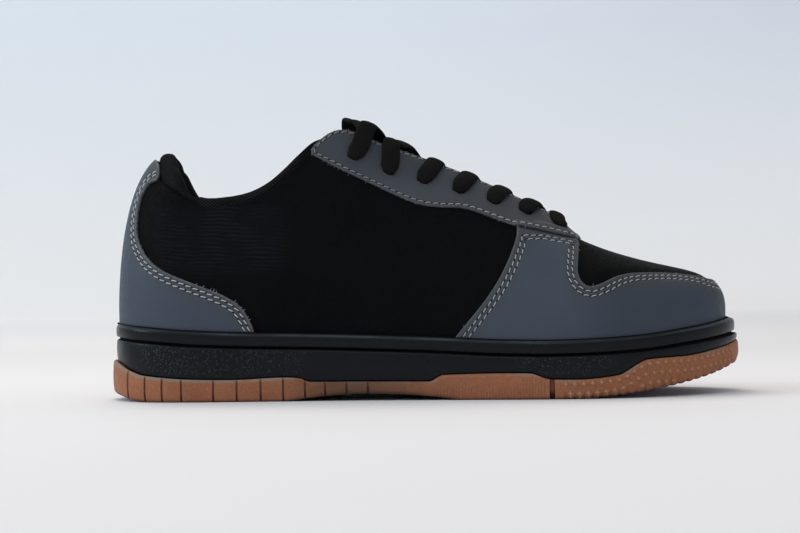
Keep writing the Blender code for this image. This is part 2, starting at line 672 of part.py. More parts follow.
def make_tongue(finish):
    """A padded strip under the throat, which starts under the vamp and ends at the top eyelets."""
    fine = np.linspace(THROAT_FROM * HALF, THROAT_TO * HALF, 2000)
    edge_x = LAST(fine)[:, 2]
    ends = [np.interp(graded_x(x), edge_x, fine) for x in (TONGUE_TOP_X, TONGUE_FOOT_X)]
    top = np.array([tongue_arch(s) for s in np.linspace(*ends, TONGUE_ROWS)])
    along = np.gradient(top, axis=0)
    across = np.gradient(top, axis=1)
    normal = np.cross(along, across)
    normal /= np.linalg.norm(normal, axis=2)[..., None]
    normal *= np.where(normal[..., 2:] < 0, -1, 1)
    edge = np.ones(top.shape[1])
    edge[[0, -1]] = TONGUE_EDGE_SHARE
    under = top - normal * TONGUE_THICKNESS * edge[None, :, None]
    rows, columns = top.shape[:2]
    points = np.concatenate([top.reshape(-1, 3), under.reshape(-1, 3)])
    index = np.arange(rows * columns).reshape(rows, columns)
    low = index + rows * columns
    faces = []
    for i in range(rows - 1):
        for k in range(columns - 1):
            faces.append((index[i, k], index[i, k + 1], index[i + 1, k + 1], index[i + 1, k]))
            faces.append((low[i, k], low[i + 1, k], low[i + 1, k + 1], low[i, k + 1]))
        for k in (0, columns - 1):
            faces.append((index[i, k], index[i + 1, k], low[i + 1, k], low[i, k]))
    for k in range(columns - 1):
        for i in (0, rows - 1):
            faces.append((index[i, k], index[i, k + 1], low[i, k + 1], low[i, k]))
    return mesh_object("tongue", points, faces, finish)


def lace_strip(name, path, toe_ward, finish):
    """A flat lace along a path; its width lies along the shoe."""
    half_width, half_thick = LACE_WIDTH / 2, LACE_THICKNESS / 2
    profile = [
        (-half_width, half_thick), (half_width, half_thick),
        (half_width, -half_thick), (-half_width, -half_thick),
    ]
    path = np.array(path)
    along = np.gradient(path, axis=0)
    along /= np.linalg.norm(along, axis=1)[:, None]
    wide = toe_ward - along * (along @ toe_ward)[:, None]
    wide /= np.linalg.norm(wide, axis=1)[:, None]
    thick = np.cross(along, wide)
    loops = np.stack([path + wide * w + thick * t for w, t in profile], axis=1)
    count, per_loop = loops.shape[:2]
    faces = ring_faces(count, per_loop, True)[:2 * (count - 1) * per_loop]
    faces += [tuple(range(per_loop)), tuple(range((count - 1) * per_loop, count * per_loop))]
    return mesh_object(name, loops.reshape(-1, 3), faces, finish)


def lace_path(start, target, lift):
    """From above an eyelet, over the throat's edge, across the tongue and down to the far edge."""
    point, normal, edge = start
    above = LACE_CLEAR + LACE_THICKNESS / 2
    first = point + normal * LACE_STAND
    over = edge + normal * above + [0, 0, lift * 0.6]
    far = target + np.array([0, 0, above])
    middle = (over + far) / 2 + [0, 0, LACE_CROWN + lift * 0.5]
    knots = [first, over, middle, far]
    return curve_through(knots, [LACE_STEPS] * (len(knots) - 1))


def make_lace_cross(number, outer, inner, finish):
    """Two strips that run from one pair of eyelets to under the far edges, joined where they cross."""
    toe_ward = outer[number][0] - outer[number - 1][0]
    toe_ward /= np.linalg.norm(toe_ward)
    paths = []
    for near, far in ((outer, inner), (inner, outer)):
        start, opposite, ahead = near[number - 1], far[number - 1][2], far[number][2]
        inward = (start[2] - opposite) * [0, 1, 0]
        target = opposite + (ahead - opposite) * LACE_FAR_SHARE + inward * LACE_FAR_INWARD
        paths.append(lace_path(start, target, LACE_LIFTS[number - 1]))
    cross = lace_strip(f"lace_cross_{number}", paths[0], toe_ward, finish)
    second = as_cutter(lace_strip(f"lace_cross_{number}_second", paths[1], toe_ward, finish))
    boolean(cross, "UNION", second)


def make_lace_bar(outer, inner, finish):
    """The straight run between the two eyelets next to the toe."""
    ends = (outer[-1], inner[-1])
    first, last = (point + normal * LACE_STAND for point, normal, _ in ends)
    lift = np.array([0, 0, BAR_LIFT])
    over = [edge + normal * (LACE_CLEAR + LACE_THICKNESS) + lift for _, normal, edge in ends]
    middle = (over[0] + over[1]) / 2 + [0, 0, LACE_CROWN]
    knots = [first, over[0], middle, over[1], last]
    toe_ward = outer[-1][0] - outer[-2][0]
    toe_ward /= np.linalg.norm(toe_ward)
    path = curve_through(knots, [LACE_STEPS] * (len(knots) - 1))
    lace_strip("lace_bar", path, toe_ward, finish)


def make_laces(finish):
    outer, inner = eyelet_points(-1), eyelet_points(1)
    for number in range(1, EYELETS):
        make_lace_cross(number, outer, inner, finish)
    make_lace_bar(outer, inner, finish)


def main():
    for old in list(bpy.data.objects):
        bpy.data.objects.remove(old)
    make_outsole(GUM_RUBBER)
    make_cupsole(BLACK_RUBBER)
    make_insole(BLACK_TEXTILE)
    upper = make_upper(BLACK_LEATHER)
    make_overlay("heel_counter", counter_outline(), GREY_LEATHER)
    make_overlay("toe_overlay", toe_outline(), GREY_LEATHER)
    eyestay = make_overlay("eyestay", eyestay_outline(), GREY_LEATHER)
    punches = eyelet_cutter()
    boolean(upper, "DIFFERENCE", punches)
    boolean(eyestay, "DIFFERENCE", punches)
    make_tongue(BLACK_TEXTILE)
    make_laces(BLACK_TEXTILE)


main()
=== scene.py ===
"""Looks of a low-top cupsole sneaker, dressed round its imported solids.

The frame is the solids' own: metres, +X towards the toe, -Y the outer side, +Z up, floor at Z = 0.
Shapes are worked out in millimetres with X measured from the back of the heel, and `piece` moves
them into the frame. A place on the upper is a pair of numbers: s runs from the heel along the outer
side, round the toe and back along the inner side, and h from 0 at the sole's rim to 1 at the edge
of the collar or throat.
"""

import math
from collections import namedtuple

import bpy
import numpy as np
from mathutils import Matrix, Vector


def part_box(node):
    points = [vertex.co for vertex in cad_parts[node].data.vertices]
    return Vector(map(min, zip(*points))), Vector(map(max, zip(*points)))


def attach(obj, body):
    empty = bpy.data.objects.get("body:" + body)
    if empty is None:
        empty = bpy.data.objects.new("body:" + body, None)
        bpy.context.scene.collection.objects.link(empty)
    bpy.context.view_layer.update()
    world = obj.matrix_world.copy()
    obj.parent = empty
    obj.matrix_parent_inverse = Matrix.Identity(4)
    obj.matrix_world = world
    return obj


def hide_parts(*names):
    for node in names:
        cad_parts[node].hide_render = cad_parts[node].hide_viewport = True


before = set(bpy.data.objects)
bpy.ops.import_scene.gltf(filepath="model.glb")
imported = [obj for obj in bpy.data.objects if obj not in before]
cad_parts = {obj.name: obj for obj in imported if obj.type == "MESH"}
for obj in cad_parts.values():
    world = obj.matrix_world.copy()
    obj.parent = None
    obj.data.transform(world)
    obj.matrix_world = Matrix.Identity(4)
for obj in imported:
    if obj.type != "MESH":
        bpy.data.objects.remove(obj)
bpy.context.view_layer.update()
SOLE_LOW, SOLE_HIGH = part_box("outsole")

# The solids' length in millimetres, and metres for each millimetre of the tables below
SAMPLE_LENGTH = 270.0
MM = (SOLE_HIGH.x - SOLE_LOW.x) / SAMPLE_LENGTH

# Layers of the upper, in millimetres
LEATHER = 1.2
OVERLAY = 1.3
OVERLAY_BASE = 0.05
LINING_UNDER = 1.3
WALL = 2.2
PAD_START, PAD_FULL = 0.35, 0.9
EDGE_ROUND = 0.55
FOLD_ROUND = 0.5
TUCK_IN = 1.2
TUCK_DOWN = 5.0
UNDER_EYESTAY, BELOW_EYESTAY = 3.0, 0.4
ROW_HALF = 0.95

# Sidewall of the sole, as distances out from the upper
GUM_STEP = 1.7
WALL_STEP = 0.8
RIM_HEIGHT = 6.5
RIM_INSIDE = 1.6
RIM_BEVEL = 1.7
SEAM_DEPTH = 2.0
SEAM_WIDTH = 1.25
WALL_EDGE = 0.5
CORE_INSET, CORE_RISE = 7.0, 5.0
INSOLE_THICKNESS = 4.5
GAP = 0.3

# One row for each section of the last, from the back of the heel to the tip of the toe.
# foot: where the upper meets the sole's rim. edge: the collar or throat edge above it.
# rise, lean: the wall's upright start. reach, dip: how the wall comes in to the edge.
# pad, roll: thickness and height of the collar's roll. welt: how far the sole's rim stands out.
Section = namedtuple(
    "Section", "name foot_x lateral medial edge_x edge_y edge_z rise lean reach dip pad roll welt"
)
SECTIONS = [
    Section("heel back", 4.3, 0.0, 0.0, 20.2, 0.0, 102.4, 30.0, 0.8, 11.0, 9.0, 9.4, 7.8, 2.6),
    Section("heel corner", 12.5, 22.3, 21.8, 23.6, 12.0, 98.8, 29.0, 1.5, 6.5, 14.0, 9.0, 6.2, 2.6),
    Section("heel side", 30.0, 31.0, 30.2, 31.2, 21.0, 91.2, 26.0, 2.5, 3.0, 20.0, 8.4, 4.6, 2.8),
    Section("collar back", 42.0, 32.4, 30.8, 41.4, 24.2, 81.9, 23.0, 3.0, 2.6, 18.0, 7.6, 3.8, 2.9),
    Section("collar low", 54.0, 32.8, 30.4, 53.0, 25.7, 82.3, 22.0, 3.0, 2.5, 18.0, 7.2, 3.6, 2.9),
    Section("collar rise", 70.0, 33.3, 29.4, 69.0, 25.4, 88.6, 26.0, 2.0, 3.0, 18.0, 6.2, 3.1, 3.0),
    Section("eyestay back", 86.0, 34.0, 28.6, 85.5, 22.4, 103.4, 32.0, 1.0, 5.0, 20.0, 4.0, 2.0, 3.0),
    Section("eyestay top", 101.0, 35.0, 28.9, 99.5, 17.2, 113.4, 34.0, 1.0, 10.0, 16.0, 2.4, 1.2, 3.0),
    Section("throat top", 113.0, 36.2, 29.9, 113.0, 15.6, 109.0, 33.0, 1.2, 11.0, 14.5, 2.3, 1.1, 3.0),
    Section("instep", 127.0, 37.8, 31.6, 127.0, 14.5, 103.6, 32.0, 1.5, 12.0, 13.0, 2.2, 1.1, 3.0),
    Section("joint", 160.0, 42.5, 38.4, 160.0, 12.5, 90.3, 29.0, 2.5, 15.0, 10.0, 2.2, 1.1, 3.0),
    Section("ball", 187.0, 45.8, 43.0, 187.0, 9.0, 77.3, 27.0, 2.5, 17.0, 7.0, 2.2, 1.1, 3.1),
    Section("toe side", 222.0, 42.0, 43.0, 193.8, 6.9, 71.8, 21.0, 2.0, 26.0, 14.0, 2.2, 1.1, 3.5),
    Section("toe corner", 248.0, 27.2, 31.2, 196.3, 3.6, 68.6, 23.0, 2.2, 34.0, 17.5, 2.2, 1.1, 4.4),
    Section("toe tip", 263.2, -3.0, 3.0, 197.0, 0.0, 67.6, 26.0, 2.6, 41.0, 20.0, 2.2, 1.1, 5.1),
]

# Lines along the sole's side, as (x, height)
SEAM_LINE = [
    (0, 27.1), (15, 25.5), (40, 23.4), (62, 22.5), (83, 22.0), (110, 21.1), (141, 19.8),
    (166, 18.5), (186, 18.1), (207, 18.6), (224, 19.7), (241, 21.9), (255, 24.0), (270, 27.2),
]
GUM_LINE = [
    (0, 18.6), (7.5, 15.7), (11, 13.6), (18, 11.1), (40, 9.4), (53, 9.2), (76, 10.0), (81.5, 9.7),
    (86.5, 8.1), (109, 8.0), (136, 7.8), (142, 10.4), (165, 10.9), (177, 10.8), (186, 8.2),
    (196, 8.0), (212, 9.4), (225, 15.8), (241, 16.8), (257, 20.0), (264, 22.4), (270, 23.6),
]
TREAD_LINE = [
    (0, 5.0), (8, 2.2), (15, 0.5), (21, 0.0), (72, 0.0), (95, 2.2), (109, 2.9), (125, 2.5),
    (140, 1.2), (151, 0.0), (197, 0.0), (206, 0.6), (219, 1.9), (232, 4.0), (246, 7.1),
    (254, 9.5), (259, 11.4), (264, 13.6), (270, 16.5),
]
FLOOR_LINE = [(0, 17.0), (60, 15.0), (130, 12.0), (190, 10.6), (225, 13.0), (270, 20.5)]

# Outlines in the side view, as (x, height), smoothed by a curve through them
COUNTER_EDGE = [
    (21.2, 108.0), (22.4, 95.0), (18.2, 92.2), (15.1, 87.6), (13.4, 80.3), (13.2, 71.7),
    (15.1, 65.3), (19.3, 59.3), (25.4, 54.8), (34.1, 50.9), (42.6, 47.6), (51.0, 44.0),
    (57.5, 39.5), (61.2, 33.6), (63.0, 29.0), (64.5, 22.0),
]
COUNTER_SEWN_EDGE = [(40.0, 104.0), (30.0, 98.8), (22.4, 94.6)] + COUNTER_EDGE[2:]
WING_EDGE = [
    (142.0, 18.0), (146.9, 25.9), (151.9, 32.0), (158.7, 40.2), (164.8, 48.9), (169.7, 58.4),
    (172.9, 66.8), (173.4, 70.6),
]
NOTCH_EDGE = [
    (199.4, 64.2), (198.6, 58.0), (198.0, 51.5), (199.8, 47.2), (203.0, 45.8), (207.5, 46.9),
    (213.4, 49.3), (219.0, 50.5), (226.0, 50.7), (236.0, 50.4), (247.0, 49.3), (258.0, 47.2),
    (275.0, 45.0),
]
EYESTAY_EDGE = [
    (87.4, 103.2), (95.5, 98.9), (103.8, 94.5), (116.4, 88.4), (124.8, 84.3), (133.2, 81.1),
    (141.7, 79.9), (150.1, 79.5), (156.4, 77.8), (164.8, 74.5), (173.2, 71.5), (184.0, 69.0),
    (194.0, 66.5), (200.4, 65.3),
]
QUARTER_EDGE = [
    (20.2, 110.0), (20.9, 99.0), (22.6, 93.6), (29.7, 88.3), (36.3, 84.1), (41.5, 82.6),
    (46.9, 82.5), (53.0, 82.9), (59.5, 83.6), (63.7, 84.8), (70.0, 88.3), (78.0, 95.4),
    (85.5, 103.4), (92.0, 110.5), (99.0, 118.0),
]
OUTLINE_STEP = 1.5
OUTLINE_LOW, OUTLINE_HIGH = -10.0, 130.0
OUTLINE_BEHIND, OUTLINE_AHEAD = -20.0, 300.0

# The share of the way from heel to toe in which the throat lies
THROAT_FROM, THROAT_TO = 0.2, 0.75


def smooth_line(rows):
    """A height along the shoe that passes through the rows and never overshoots between them."""
    xs = np.array([x for x, _ in rows], float)
    zs = np.array([z for _, z in rows], float)
    slopes = np.diff(zs) / np.diff(xs)
    tangents = np.zeros(len(xs))
    for i in range(1, len(xs) - 1):
        if slopes[i - 1] * slopes[i] > 0:
            tangents[i] = 2 * slopes[i - 1] * slopes[i] / (slopes[i - 1] + slopes[i])
    tangents[0], tangents[-1] = slopes[0], slopes[-1]

    def height(x):
        x = np.clip(x, xs[0], xs[-1])
        i = np.clip(np.searchsorted(xs, x) - 1, 0, len(xs) - 2)
        span = xs[i + 1] - xs[i]
        u = (x - xs[i]) / span
        start = (1 + 2 * u) * (1 - u) ** 2 * zs[i] + u * (1 - u) ** 2 * span * tangents[i]
        end = u * u * (3 - 2 * u) * zs[i + 1] + u * u * (u - 1) * span * tangents[i + 1]
        return start + end

    return height


seam_height = smooth_line(SEAM_LINE)
gum_height = smooth_line(GUM_LINE)
tread_height = smooth_line(TREAD_LINE)
floor_height = smooth_line(FLOOR_LINE)


def closed_curve(knots, values, period):
    """A smooth closed curve through the values, which meets itself after one period."""
    count = len(knots)
    steps = np.diff(np.append(knots, knots[0] + period))
    system, right = np.zeros((count, count)), np.zeros((count, values.shape[1]))
    for i in range(count):
        before, after = steps[i - 1], steps[i]
        system[i, i - 1] += before
        system[i, i] += 2 * (before + after)
        system[i, (i + 1) % count] += after
        rise_after = (values[(i + 1) % count] - values[i]) / after
        rise_before = (values[i] - values[i - 1]) / before
        right[i] = 6 * (rise_after - rise_before)
    bends = np.linalg.solve(system, right)

    def at(s):
        s = np.mod(s, period)
        i = np.clip(np.searchsorted(knots, s, side="right") - 1, 0, count - 1)
        j = (i + 1) % count
        span = steps[i]
        b = (s - knots[i]) / span
        a = 1 - b
        a, b, span = a[:, None], b[:, None], span[:, None]
        bend = ((a**3 - a) * bends[i] + (b**3 - b) * bends[j]) * span**2 / 6
        return a * values[i] + b * values[j] + bend

    return at


def last_curves():
    """The section table as closed curves around the shoe: outer side first, then the inner side."""
    rows = []
    for side in (-1, 1):
        ordered = SECTIONS if side < 0 else SECTIONS[-2:0:-1]
        for r in ordered:
            foot_y = -r.lateral if side < 0 else r.medial
            rows.append([
                r.foot_x, foot_y, r.edge_x, side * r.edge_y, r.edge_z,
                r.rise, r.lean, r.reach, r.dip, r.pad, r.roll, r.welt,
            ])
    rows = np.array(rows)
    count = len(SECTIONS)
    lateral, medial = rows[:count, :2], np.vstack([rows[0, :2], rows[:count - 2:-1, :2]])
    chords = [np.linalg.norm(np.diff(side, axis=0), axis=1) for side in (lateral, medial)]
    half_knots = np.concatenate([[0.0], np.cumsum((chords[0] + chords[1]) / 2)])
    half = half_knots[-1]
    knots = np.concatenate([half_knots, 2 * half - half_knots[-2:0:-1]])
    return closed_curve(knots, rows, 2 * half), half


LAST, HALF = last_curves()


def station_at(x, column=0):
    """The station on the outer side whose foot lies at x, or whose edge does with column 2."""
    fine = np.linspace(0, HALF, 4000)
    return np.interp(x, LAST(fine)[:, column], fine)


def unit(vectors):
    return vectors / np.maximum(np.linalg.norm(vectors, axis=-1, keepdims=True), 1e-9)


def run_length(points):
    """The distance along a line of points, at each of them."""
    return np.append(0.0, np.linalg.norm(np.diff(points, axis=0), axis=1).cumsum())


def smoothstep(low, high, value):
    t = np.clip((value - low) / (high - low), 0, 1)
    return t * t * (3 - 2 * t)


class Sections:
    """The last at an array of stations s: from the heel, along the outer side, round the toe and back."""

    def __init__(self, s):
        self.s = np.asarray(s, float)
        c = LAST(self.s)
        along = unit(LAST(self.s + 0.5)[:, :2] - LAST(self.s - 0.5)[:, :2])
        self.foot = c[:, :2]
        self.foot_z = seam_height(c[:, 0]) + RIM_HEIGHT
        self.normal = np.column_stack([along[:, 1], -along[:, 0]])
        self.edge, self.edge_z = c[:, 2:4], c[:, 4]
        across = self.foot - self.edge
        self.out = unit(across)
        self.span = np.linalg.norm(across, axis=1)
        self.rise, self.lean, self.reach, self.dip, self.pad, self.roll, self.welt = c[:, 5:12].T

    def wall(self, h, offset=0.0):
        """The wall at heights h, shared by the stations or one row for each, moved out by offset.

        Each section is a cubic Bezier curve in its own upright plane. Gives (stations, heights, 3).
        """
        h = np.atleast_2d(np.asarray(h, float))
        out_controls = np.stack([self.span, self.span + self.lean, self.reach, 0 * self.span])
        up_controls = np.stack([
            self.foot_z, self.foot_z + self.rise, self.edge_z - self.dip, self.edge_z,
        ])
        weights = np.stack([(1 - h) ** 3, 3 * h * (1 - h) ** 2, 3 * h * h * (1 - h), h**3])
        slope_weights = np.stack([(1 - h) ** 2, 2 * h * (1 - h), h * h])
        out = (weights * out_controls[:, :, None]).sum(axis=0)
        up = (weights * up_controls[:, :, None]).sum(axis=0)
        slope_out = (slope_weights * np.diff(out_controls, axis=0)[:, :, None]).sum(axis=0)
        slope_up = (slope_weights * np.diff(up_controls, axis=0)[:, :, None]).sum(axis=0)
        length = np.hypot(slope_out, slope_up)
        out = out + offset * slope_up / length
        up = up - offset * slope_out / length
        plan = self.edge[:, None, :] + out[..., None] * self.out[:, None, :]
        return np.concatenate([plan, up[..., None]], axis=2)

    def around(self, distance, height):
        """Points beside the foot line, a distance out along its normal: (stations, 3)."""
        plan = self.foot + self.normal * np.broadcast_to(distance, self.s.shape)[:, None]
        return np.column_stack([plan, np.broadcast_to(height, self.s.shape)])

    def profile(self, rows):
        """A profile at each station, from rows of (distance, height): (stations, rows, 3)."""
        return np.stack([self.around(distance, height) for distance, height in rows], axis=1)

    def thickness(self, h):
        """The wall is thin at the sole and swells into the collar's roll."""
        swell = smoothstep(PAD_START, PAD_FULL, np.atleast_2d(np.asarray(h, float)))
        return WALL + (self.pad - WALL)[:, None] * swell


def skin(s, h):
    """Points of the upper's outer face at pairs of station and height."""
    return Sections(s).wall(np.asarray(h, float)[:, None])[:, 0]


def skin_normals(s, h):
    step_s, step_h = 0.4, 0.004
    along = skin(s + step_s, h) - skin(s - step_s, h)
    up = skin(s, h + step_h) - skin(s, h - step_h)
    return unit(np.cross(along, up))


def sole_box_middle():
    """The middle of the outsole's box in plan, which the origin lies under."""
    around = Sections(np.linspace(0, 2 * HALF, 720, endpoint=False))
    outline = around.around(around.welt + GUM_STEP, 0.0)[:, :2]
    return (outline.min(0) + outline.max(0)) / 2


MIDDLE = np.append(sole_box_middle(), 0.0)


def to_frame(points):
    return (np.asarray(points, float) - MIDDLE) * MM


# Nodes, pieces and meshes


def set_inputs(tree, made, values):
    """Sets a node's inputs. Each takes a value, or another node's output to join to it."""
    for socket, value in values.items():
        if isinstance(value, bpy.types.NodeSocket):
            tree.links.new(value, made.inputs[socket])
        else:
            made.inputs[socket].default_value = value


def node(tree, kind, inputs=None, **settings):
    """A new node with its settings and inputs."""
    made = tree.nodes.new(kind)
    for name, value in settings.items():
        setattr(made, name, value)
    set_inputs(tree, made, inputs or {})
    return made


def piece(name, points, faces, finish, uv=None, values=None, replaces=(), crease=None):
    """A finished piece of the shoe from points in millimetres."""
    mesh = bpy.data.meshes.new(name)
    mesh.from_pydata(to_frame(points).tolist(), [], outward(points, faces))
    mesh.shade_smooth()
    if crease is not None:
        mesh.set_sharp_from_angle(angle=math.radians(crease))
    for key, numbers in (values or {}).items():
        made = mesh.attributes.new(key, "FLOAT", "POINT")
        made.data.foreach_set("value", np.asarray(numbers, np.float32))
    if uv is not None:
        corners = np.zeros(len(mesh.loops), np.int32)
        mesh.loops.foreach_get("vertex_index", corners)
        layer = mesh.uv_layers.new(name="surface_mm")
        layer.data.foreach_set("uv", np.asarray(uv, np.float32)[corners].ravel())
    mesh.materials.append(finish)
    made = bpy.data.objects.new(name, mesh)
    bpy.context.scene.collection.objects.link(made)
    return dressed(made, replaces)


def outward(points, faces):
    """The faces of a closed shape, all turned over if they point inwards."""
    points = np.asarray(points, float)
    faces = [[int(k) for k in face] for face in faces]
    thirds = np.array([(f[0], f[k], f[k + 1]) for f in faces for k in range(1, len(f) - 1)])
    a, b, c = (points[thirds[:, k]] for k in range(3))
    if (a * np.cross(b, c)).sum() > 0:
        return faces
    return [face[::-1] for face in faces]


def dressed(made, replaces=()):
    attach(made, "root")
    if replaces:
        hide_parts(*replaces)
    return made


def ring_faces(stations, per_loop, closed_loop, closed_round=True):
    """Quads between neighbouring stations, each of which holds one loop of points."""
    i = np.arange(stations if closed_round else stations - 1)[:, None]
    k = np.arange(per_loop if closed_loop else per_loop - 1)[None, :]
    j, n = (i + 1) % stations, (k + 1) % per_loop
    corners = [i * per_loop + k, j * per_loop + k, j * per_loop + n, i * per_loop + n]
    return np.stack(corners, axis=-1).reshape(-1, 4)


# Finishes


def finish_tree(name):
    """A new material with its node tree and its shader."""
    made = bpy.data.materials.new(name)
    made.use_nodes = True
    tree = made.node_tree
    shader = tree.nodes["Principled BSDF"]
    return made, tree, shader


def object_place(tree):
    return node(tree, "ShaderNodeTexCoord").outputs["Object"]


def surface_place(tree):
    """The piece's own unrolled surface, in millimetres."""
    return node(tree, "ShaderNodeUVMap", uv_map="surface_mm").outputs["UV"]


def noise(tree, place, scale, detail=3.0):
    inputs = {"Vector": place, "Scale": scale, "Detail": detail}
    return node(tree, "ShaderNodeTexNoise", inputs).outputs["Fac"]


def cells(tree, place, scale, feature="F1"):
    made = node(tree, "ShaderNodeTexVoronoi", {"Vector": place, "Scale": scale}, feature=feature)
    return made.outputs["Distance"]


def attribute(tree, name):
    return node(tree, "ShaderNodeAttribute", attribute_name=name).outputs["Fac"]


def between(tree, value, low, high, start=0.0, end=1.0):
    """A soft step: start below low, end above high."""
    limits = {"Value": value, "From Min": low, "From Max": high, "To Min": start, "To Max": end}
    return node(tree, "ShaderNodeMapRange", limits, interpolation_type="SMOOTHSTEP").outputs["Result"]


# Sockets of the Mix node when it mixes colours
MIX_SHARE, MIX_COLOURS, MIX_RESULT = 0, (6, 7), 2


def combine(tree, operation, first, second):
    return node(tree, "ShaderNodeMath", {0: first, 1: second}, operation=operation).outputs["Value"]


def product(tree, first, second):
    return combine(tree, "MULTIPLY", first, second)


def blend(tree, share, first, second):
    """The first colour where the share is 0 and the second where it is 1."""
    inputs = {MIX_SHARE: share}
    for key, colour in zip(MIX_COLOURS, (first, second)):
        inputs[key] = colour if isinstance(colour, bpy.types.NodeSocket) else (*colour, 1)
    return node(tree, "ShaderNodeMix", inputs, data_type="RGBA").outputs[MIX_RESULT]


def bump(tree, height, depth, strength=1.0, under=None):
    """Relief with a depth in millimetres, laid over other relief where there is some."""
    inputs = {"Height": height, "Distance": depth * MM, "Strength": strength}
    if under is not None:
        inputs["Normal"] = under
    return node(tree, "ShaderNodeBump", inputs).outputs["Normal"]


def axis(tree, place, name):
    return node(tree, "ShaderNodeSeparateXYZ", {"Vector": place}).outputs[name]


def grey_leather():
    """Smooth coated leather with a faint grain, paler at its cut edges, darker along its seams from needle
    holes and painted shade, and with painted light and shade on the eyestay and toe.
    """
    made, tree, shader = finish_tree("smooth grey leather")
    place = object_place(tree)
    ahead, height = axis(tree, place, "X"), axis(tree, place, "Z")
    tone = blend(tree, noise(tree, place, 28.0), (0.048, 0.062, 0.086), (0.062, 0.080, 0.106))
    inside = attribute(tree, "inside_edge")
    tone = blend(tree, between(tree, inside, 2.0, 11.0, 0.6, 0.0), tone, (0.062, 0.065, 0.069))
    # Painted light: a warmer, more neutral grey over the eyestay's front, for warm light from above
    front = product(tree, between(tree, ahead, 0.0, 0.05, 0.0, 0.75), between(tree, height, 0.066, 0.074))
    tone = blend(tree, front, tone, (0.066, 0.064, 0.070))
    past_collar = between(tree, ahead, -0.070, -0.055)
    # Painted shade: the highest leather ahead of the collar and the toe's front are darkened towards black
    topmost = product(tree, past_collar, between(tree, height, 0.088, 0.100, 0.0, 0.18))
    toe = between(tree, ahead, 0.055, 0.085, 0.0, 0.17)
    tone = blend(tree, combine(tree, "MAXIMUM", topmost, toe), tone, (0.0, 0.0, 0.0))
    edge = between(tree, inside, 0.3, 1.2, 1.0, 0.0)
    edge = product(tree, edge, between(tree, past_collar, 0.0, 1.0, 1.0, 0.45))
    fibres = product(tree, edge, between(tree, noise(tree, place, 1100.0), 0.30, 0.62))
    tone = blend(tree, fibres, tone, (0.130, 0.135, 0.132))
    # Painted shadow: a dark line on the leather just below the eyestay's edge
    below = attribute(tree, "below_eyestay")
    beside = product(tree, between(tree, below, 0.7, 1.8, 0.9, 0.0), between(tree, below, -0.35, -0.05))
    tone = blend(tree, beside, tone, (0.010, 0.011, 0.013))
    # Darker along each row of stitches: partly needle holes, partly painted shade
    from_middle = combine(tree, "ABSOLUTE", attribute(tree, "row_offset"), 0.0)
    to_row = combine(tree, "ABSOLUTE", combine(tree, "SUBTRACT", from_middle, ROW_HALF), 0.0)
    needle_holes_and_shade = between(tree, to_row, 0.24, 0.46, 0.96, 0.0)
    tone = blend(tree, needle_holes_and_shade, tone, (0.006, 0.007, 0.009))
    grain = combine(tree, "ADD", noise(tree, place, 1500.0), cells(tree, place, 950.0))
    roughness = between(tree, noise(tree, place, 320.0), 0.3, 0.7, 0.46, 0.58)
    set_inputs(tree, shader, {
        "Base Color": tone, "Roughness": roughness, "Specular IOR Level": 0.13,
        "Normal": bump(tree, grain, 0.06, 0.5),
    })
    return made


def black_leather():
    """Tumbled leather with a fine pebbled grain, and ripples below the collar with painted sheen and
    painted highlights.
    """
    made, tree, shader = finish_tree("black grained leather")
    place = object_place(tree)
    tone = blend(tree, noise(tree, place, 60.0), (0.0025, 0.0030, 0.0033), (0.0038, 0.0045, 0.0049))
    tilted = node(tree, "ShaderNodeMapping", {
        "Vector": place, "Rotation": (0.0, math.radians(-6.0), 0.0), "Scale": (0.45, 1.0, 1.0),
    }).outputs["Vector"]
    waves = node(
        tree, "ShaderNodeTexWave",
        {"Vector": tilted, "Scale": 190.0, "Distortion": 8.0, "Detail": 3.0, "Detail Scale": 0.6},
        bands_direction="Z",
    ).outputs["Fac"]
    patches = between(tree, noise(tree, place, 75.0, 2.0), 0.38, 0.62)
    below_collar = attribute(tree, "rippled")
    ripples = product(tree, product(tree, between(tree, waves, 0.55, 1.0), patches), below_collar)
    # Painted sheen over the rippled leather below the collar, and painted highlights along the ripples
    painted_sheen = between(tree, below_collar, 0.0, 1.0, 0.0, 0.45)
    tone = blend(tree, painted_sheen, tone, (0.0055, 0.0075, 0.0110))
    tone = blend(tree, ripples, tone, (0.0100, 0.0115, 0.0135))
    dust = between(tree, noise(tree, place, 420.0, 1.0), 0.80, 0.84)
    tone = blend(tree, dust, tone, (0.016, 0.016, 0.016))
    pebbles = cells(tree, place, 780.0, "SMOOTH_F1")
    coarse = bump(tree, combine(tree, "SUBTRACT", pebbles, ripples), 0.28, 0.55)
    roughness = between(tree, pebbles, 0.2, 0.8, 0.58, 0.74)
    set_inputs(tree, shader, {
        "Base Color": tone, "Roughness": roughness, "Specular IOR Level": 0.034,
        "Normal": bump(tree, noise(tree, place, 2600.0), 0.05, 0.4, coarse),
    })
    return made


def woven(name, dark, light, across, along, depth):
    """Cloth whose threads go over and under each other, on a piece with an unrolled surface."""
    made, tree, shader = finish_tree(name)
    place = surface_place(tree)
    waves = []
    for direction, pitch in (("X", across), ("Y", along)):
        turned = product(tree, axis(tree, place, direction), 2 * math.pi / pitch)
        waves.append(combine(tree, "SINE", turned, 0.0))
    height = between(tree, product(tree, *waves), -1.0, 1.0)
    tone_shift = noise(tree, object_place(tree), 90.0)
    tone = blend(tree, product(tree, height, tone_shift), dark, light)
    fuzz = bump(tree, noise(tree, object_place(tree), 3000.0), 0.08, 0.5)
    set_inputs(tree, shader, {
        "Base Color": tone, "Roughness": between(tree, height, 0.0, 1.0, 0.95, 0.8),
        "Specular IOR Level": 0.03, "Normal": bump(tree, height, depth, 0.8, fuzz),
    })
    return made


